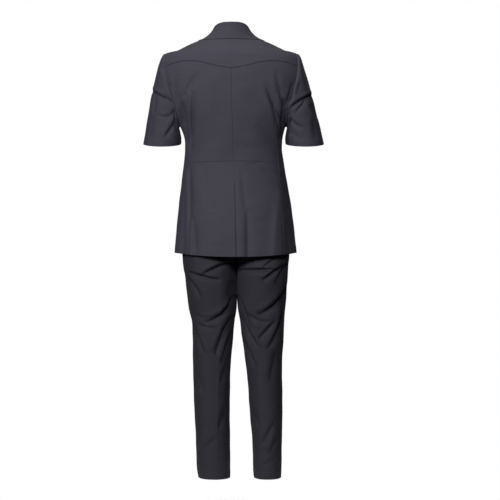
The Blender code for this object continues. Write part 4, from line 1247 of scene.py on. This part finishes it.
def threads(name, places, size, finish):
    """One mesh of all the lenses at a list of (centre, way, up)."""
    centre, way, up = (np.concatenate(part) for part in zip(*places))
    points, quads, tips = lenses(centre, way, up, size)
    fitted(name, mesh_of(name, points, [quads, tips], points[:, ::2]), finish)
    print(f"{name}: {len(centre)} lenses, {len(quads) * 2 + len(tips)} triangles")


# %% A line of stitches
PITCH = 0.0034
TRIM = STITCH_IN * 0.8  # left bare at both ends of a line


def edge_line(name, edge, inset):
    """The line on a panel's face that runs inset in from an edge: 0 first row, 1 last row, 2 first column,
    3 last column. Each point is found between the two grid lines on either side of that distance."""
    points, ways = faces_of[name][-1]
    if edge > 1:
        points, ways = points.transpose(1, 0, 2), ways.transpose(1, 0, 2)
    if edge % 2:
        points, ways = points[::-1], ways[::-1]
    d = distances(points)[0]
    low = np.clip((d < inset).sum(axis=0) - 1, 0, len(d) - 2)
    column = np.arange(points.shape[1])
    share = ((inset - d[low, column]) / (d[low + 1, column] - d[low, column]))[:, None]
    return tuple(v[low, column] * (1 - share) + v[low + 1, column] * share for v in (points, ways))


def stitch_line(name, edge, inset):
    """Where each stitch of a line lies, which way it runs and which way is out."""
    points, ways = edge_line(name, edge, inset)
    length = run_length(points)
    long = length[-1] - 2 * TRIM
    count = max(int(long / PITCH), 1)
    at = TRIM + (np.arange(count) + 0.5) * long / count

    def pick(values, at):
        return np.stack([np.interp(at, length, values[:, k]) for k in range(3)], axis=-1)

    way = unit(pick(points, at + STITCH.half_length) - pick(points, at - STITCH.half_length))
    return pick(points, at), way, pick(ways, at)


# %% Lines of stitches
NARROW = 0.0018  # edge stitching, close to the fold
FLY_IN = 0.004
jacket_lines = [("back_yoke", 0, STITCH_IN), ("back_yoke", 0, NARROW), ("back_skirt_left", 2, STITCH_IN)]
jacket_lines += [("collar_fall", edge, STITCH_IN) for edge in (1, 2, 3)]
for word, _ in SIDES:
    jacket_lines.append((f"front_{word}", 3, STITCH_IN))
    for part in ("chest_pocket", "hip_pocket"):
        jacket_lines += [(f"{part}_{word}", edge, inset) for edge in (0, 2, 3) for inset in (STITCH_IN, NARROW)]
    for part in ("chest_flap", "hip_flap"):
        jacket_lines += [(f"{part}_{word}", edge, STITCH_IN) for edge in (0, 1, 2, 3)]
trouser_lines = [("fly", 3, FLY_IN), ("fly", 0, FLY_IN), ("waistband", 0, NARROW), ("waistband", 1, NARROW)]

THREAD_PALER = 1.15
jacket_thread = suiting("jacket thread", tinted(JACKET_COLOUR, THREAD_PALER)[:3], 0.05)
trouser_thread = suiting("trouser thread", tinted(TROUSER_COLOUR, THREAD_PALER)[:3], 0.05)
threads("jacket_topstitching", [stitch_line(*line) for line in jacket_lines], STITCH, jacket_thread)
threads("trouser_topstitching", [stitch_line(*line) for line in trouser_lines], STITCH, trouser_thread)

# %% [markdown]
# ## Buttons
#
# The fronts close with five four-hole buttons, and the waistband with a smaller one. A button is turned
# from horn or moulded like it: a raised rim, a shallow dish, and four holes with the thread crossed
# through them. It is a surface of revolution with four pits, so one grid of radius and angle makes it.

# %% Buttons
BUTTON_PROFILE = [  # shares of the button's radius, and of its thickness
    (0.0, 0.0), (0.70, 0.0), (0.90, 0.10), (0.985, 0.30), (1.0, 0.50), (0.985, 0.75), (0.93, 0.95),
    (0.86, 1.0), (0.78, 0.95), (0.70, 0.74), (0.60, 0.66), (0.30, 0.64), (0.0, 0.64),
]
FACE_FROM = 6  # the row of the profile where the face begins
BUTTON_STEPS = np.concatenate([np.linspace(0.02, 11, 45), np.linspace(11, 11.99, 26)[1:]])
BUTTON_ROUND = 72
BUTTON_THICK, DISH = 0.003, 0.64
HOLE_AT, HOLE_RADIUS, HOLE_DEEP = 0.19, 0.085, 0.0012
BUTTON_LIFT = LAP_LIFT + 0.00125  # clear of the cloth by half a millimetre
FRONT_BUTTON, WAIST_BUTTON = 0.010, 0.008  # radius
BUTTON_Z = [-0.135, -0.229, -0.323, -0.417, -0.511]
BUTTON_THREAD = Thread(0.0030, 0.00035, 0.0006)
FRONT = -math.pi / 2


def horn():
    """Dark horn: clouded in stretched bands between near black and a deep grey, under a polished coat."""
    finish = Finish("button horn")
    place = finish.node("ShaderNodeTexCoord", output=3)
    band = finish.node("ShaderNodeTexNoise", Vector=place, Scale=160.0, Detail=3.0, Distortion=1.2)
    colour = finish.mix(band, (0.008, 0.008, 0.010, 1), (0.035, 0.033, 0.036, 1))
    finish.set(Base_Color=colour, Roughness=band * 0.12 + 0.24, Coat_Weight=0.4, Coat_Roughness=0.12)
    return finish


button_horn = horn()


def button(name, surface, p, q, radius):
    """Profile (r, h) turned about the surface's normal; each hole sinks the face by
    deep fade(0.8 hole, 1.15 hole, distance from the hole's middle). Gives the places of its threads."""
    p, q = np.array([[p]]), np.array([[q]])
    point, up = surface(p, q)[0, 0], across_surface(surface, p, q)[0, 0]
    up = up * -np.sign(up[1])
    right = unit(np.cross([0, 0, 1], up))
    ahead = np.cross(up, right)
    r, h = read(BUTTON_PROFILE, BUTTON_STEPS)
    r, turn = np.meshgrid(r, np.arange(BUTTON_ROUND) * 2 * math.pi / BUTTON_ROUND, indexing="ij")
    x, y = r * np.cos(turn), r * np.sin(turn)
    from_hole = np.hypot(np.abs(x) - HOLE_AT, np.abs(y) - HOLE_AT) / HOLE_RADIUS
    hole = HOLE_DEEP * fade(0.8, 1.15, from_hole) * (BUTTON_STEPS > FACE_FROM)[:, None]
    h = (h * BUTTON_THICK)[:, None] - hole
    foot = point + up * BUTTON_LIFT
    points = foot + (radius * (x[..., None] * right + y[..., None] * ahead) + h[..., None] * up)
    uv = np.concatenate([np.stack([x, y], axis=-1).reshape(-1, 2), np.zeros((2, 2))])
    points = np.concatenate([points.reshape(-1, 3), [points[0].mean(axis=0), points[-1].mean(axis=0)]])
    faces = [face[:, ::-1] for face in tube_faces(*r.shape)]
    piece = fitted(name + "_turned", mesh_of(name, points, faces, uv), button_horn)
    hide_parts(name)
    print(f"{name}: {radius * 2000:.0f} mm across, at a height of {point[2]:.3f} m")
    across_holes = np.array([right - ahead, right + ahead]) / math.sqrt(2)
    return foot + up * (BUTTON_THICK * DISH) + np.zeros((2, 1)), across_holes, np.stack([up, up])


crossed = []
for number, height in enumerate(BUTTON_Z, start=1):
    row = float(solve(lambda row: height - jacket_upright(row, FRONT)[..., 2], 0.5, 11.0))
    crossed.append(button(f"front_button_{number}", jacket, row, FRONT, FRONT_BUTTON))
crossed.append(button("waist_button", hip_ring, (BAND_TOP + BAND_END) / 2, FRONT, WAIST_BUTTON))
threads("button_thread", crossed, BUTTON_THREAD, jacket_thread)

# %% [markdown]
# ## Light, floor and camera
#
# Dark cloth shows its folds only by the light that grazes it. One soft lamp hangs above the suit on the
# camera's side, and a second, nearly as strong, stands off to the wearer's left, so that every roll has
# a lit and a dim flank. A third lights the front of the suit, and a small one overhead the floor.

# %% Stage
FLOOR_Z, FLOOR_RADIUS, FLOOR_SIDES = cad_box[0][2] - 0.18, 0.62, 96


def stage():
    mesh = bpy.data.meshes.new("floor")
    around = np.arange(FLOOR_SIDES) * 2 * math.pi / FLOOR_SIDES
    ring = [FLOOR_RADIUS * np.cos(around), FLOOR_RADIUS * np.sin(around), np.full(FLOOR_SIDES, FLOOR_Z)]
    mesh.from_pydata(np.stack(ring, axis=-1).tolist(), [], [list(range(FLOOR_SIDES))])
    pale = Finish("pale floor")
    grain = pale.node("ShaderNodeTexNoise", Vector=pale.node("ShaderNodeTexCoord", output=3), Scale=2.0)
    pale.set(Base_Color=pale.mix(grain, (0.88, 0.88, 0.88, 1), (0.92, 0.92, 0.92, 1)), Roughness=0.9)
    mesh.materials.append(pale.material)
    linked("floor", mesh)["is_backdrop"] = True


stage()
print("floor at", round(float(FLOOR_Z), 3))

# %% Lamps
SUIT_MIDDLE = (0, 0, -0.6)


def lamp(name, place, power_w, size, target=SUIT_MIDDLE):
    """A square area lamp at place that faces target."""
    data = bpy.data.lights.new(name, "AREA")
    data.energy, data.size = power_w, size
    made = linked(name, data)
    way = unit(np.array(place) - np.array(target))
    made.location = place
    made.rotation_euler = (math.acos(way[2]), 0, math.atan2(way[1], way[0]) + math.pi / 2)
    print(f"{name}: {power_w} W from {place}")


lamp("key", (0.2, 3.3, 0.95), 74, 0.7)
lamp("side key", (1.9, 2.7, 0.55), 58, 0.7)
lamp("front", (-0.2, -3.9, 0.4), 125, 0.8)
lamp("floor light", (0, 0, 1.4), 12, 0.8, target=(0, 0, FLOOR_Z))

# %% The air round the suit
AIR = 0.03  # how strong the surround is as a light


def studio_air():
    """A white surround: full strength where the camera looks straight at it, and a weak fill on the cloth."""
    world = bpy.data.worlds.new("studio")
    bpy.context.scene.world = world
    world.use_nodes = True
    tree = world.node_tree
    background = tree.nodes["Background"]
    background.inputs["Color"].default_value = (1, 1, 1, 1)
    seen = Signal(tree, tree.nodes.new("ShaderNodeLightPath").outputs["Is Camera Ray"])
    strength = seen * (1.0 - AIR) + AIR
    tree.links.new(strength.socket, background.inputs["Strength"])


studio_air()
bpy.context.scene.view_settings.view_transform = "Standard"

# %% Camera
DISTANCE = 5.0
VIEW_WIDTH = 1.65  # what the picture spans at the suit
MIDDLE = (-0.0574, -0.693)  # of the picture, across and up


def camera():
    """Straight behind the suit, level with its middle and a little to its right."""
    data = bpy.data.cameras.new("camera")
    data.sensor_width = 36.0
    data.lens = data.sensor_width * DISTANCE / VIEW_WIDTH
    made = linked("camera", data)
    made.location = (MIDDLE[0], DISTANCE, MIDDLE[1])
    made.rotation_euler = (math.pi / 2, 0, math.pi)
    bpy.context.scene.camera = made
    print(f"camera: {DISTANCE} m behind, lens {data.lens:.0f} mm")


camera()

# %% Sizes, and the end
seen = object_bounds()
print("solids' box", in_words(cad_box))
print("scene's box", in_words(seen))
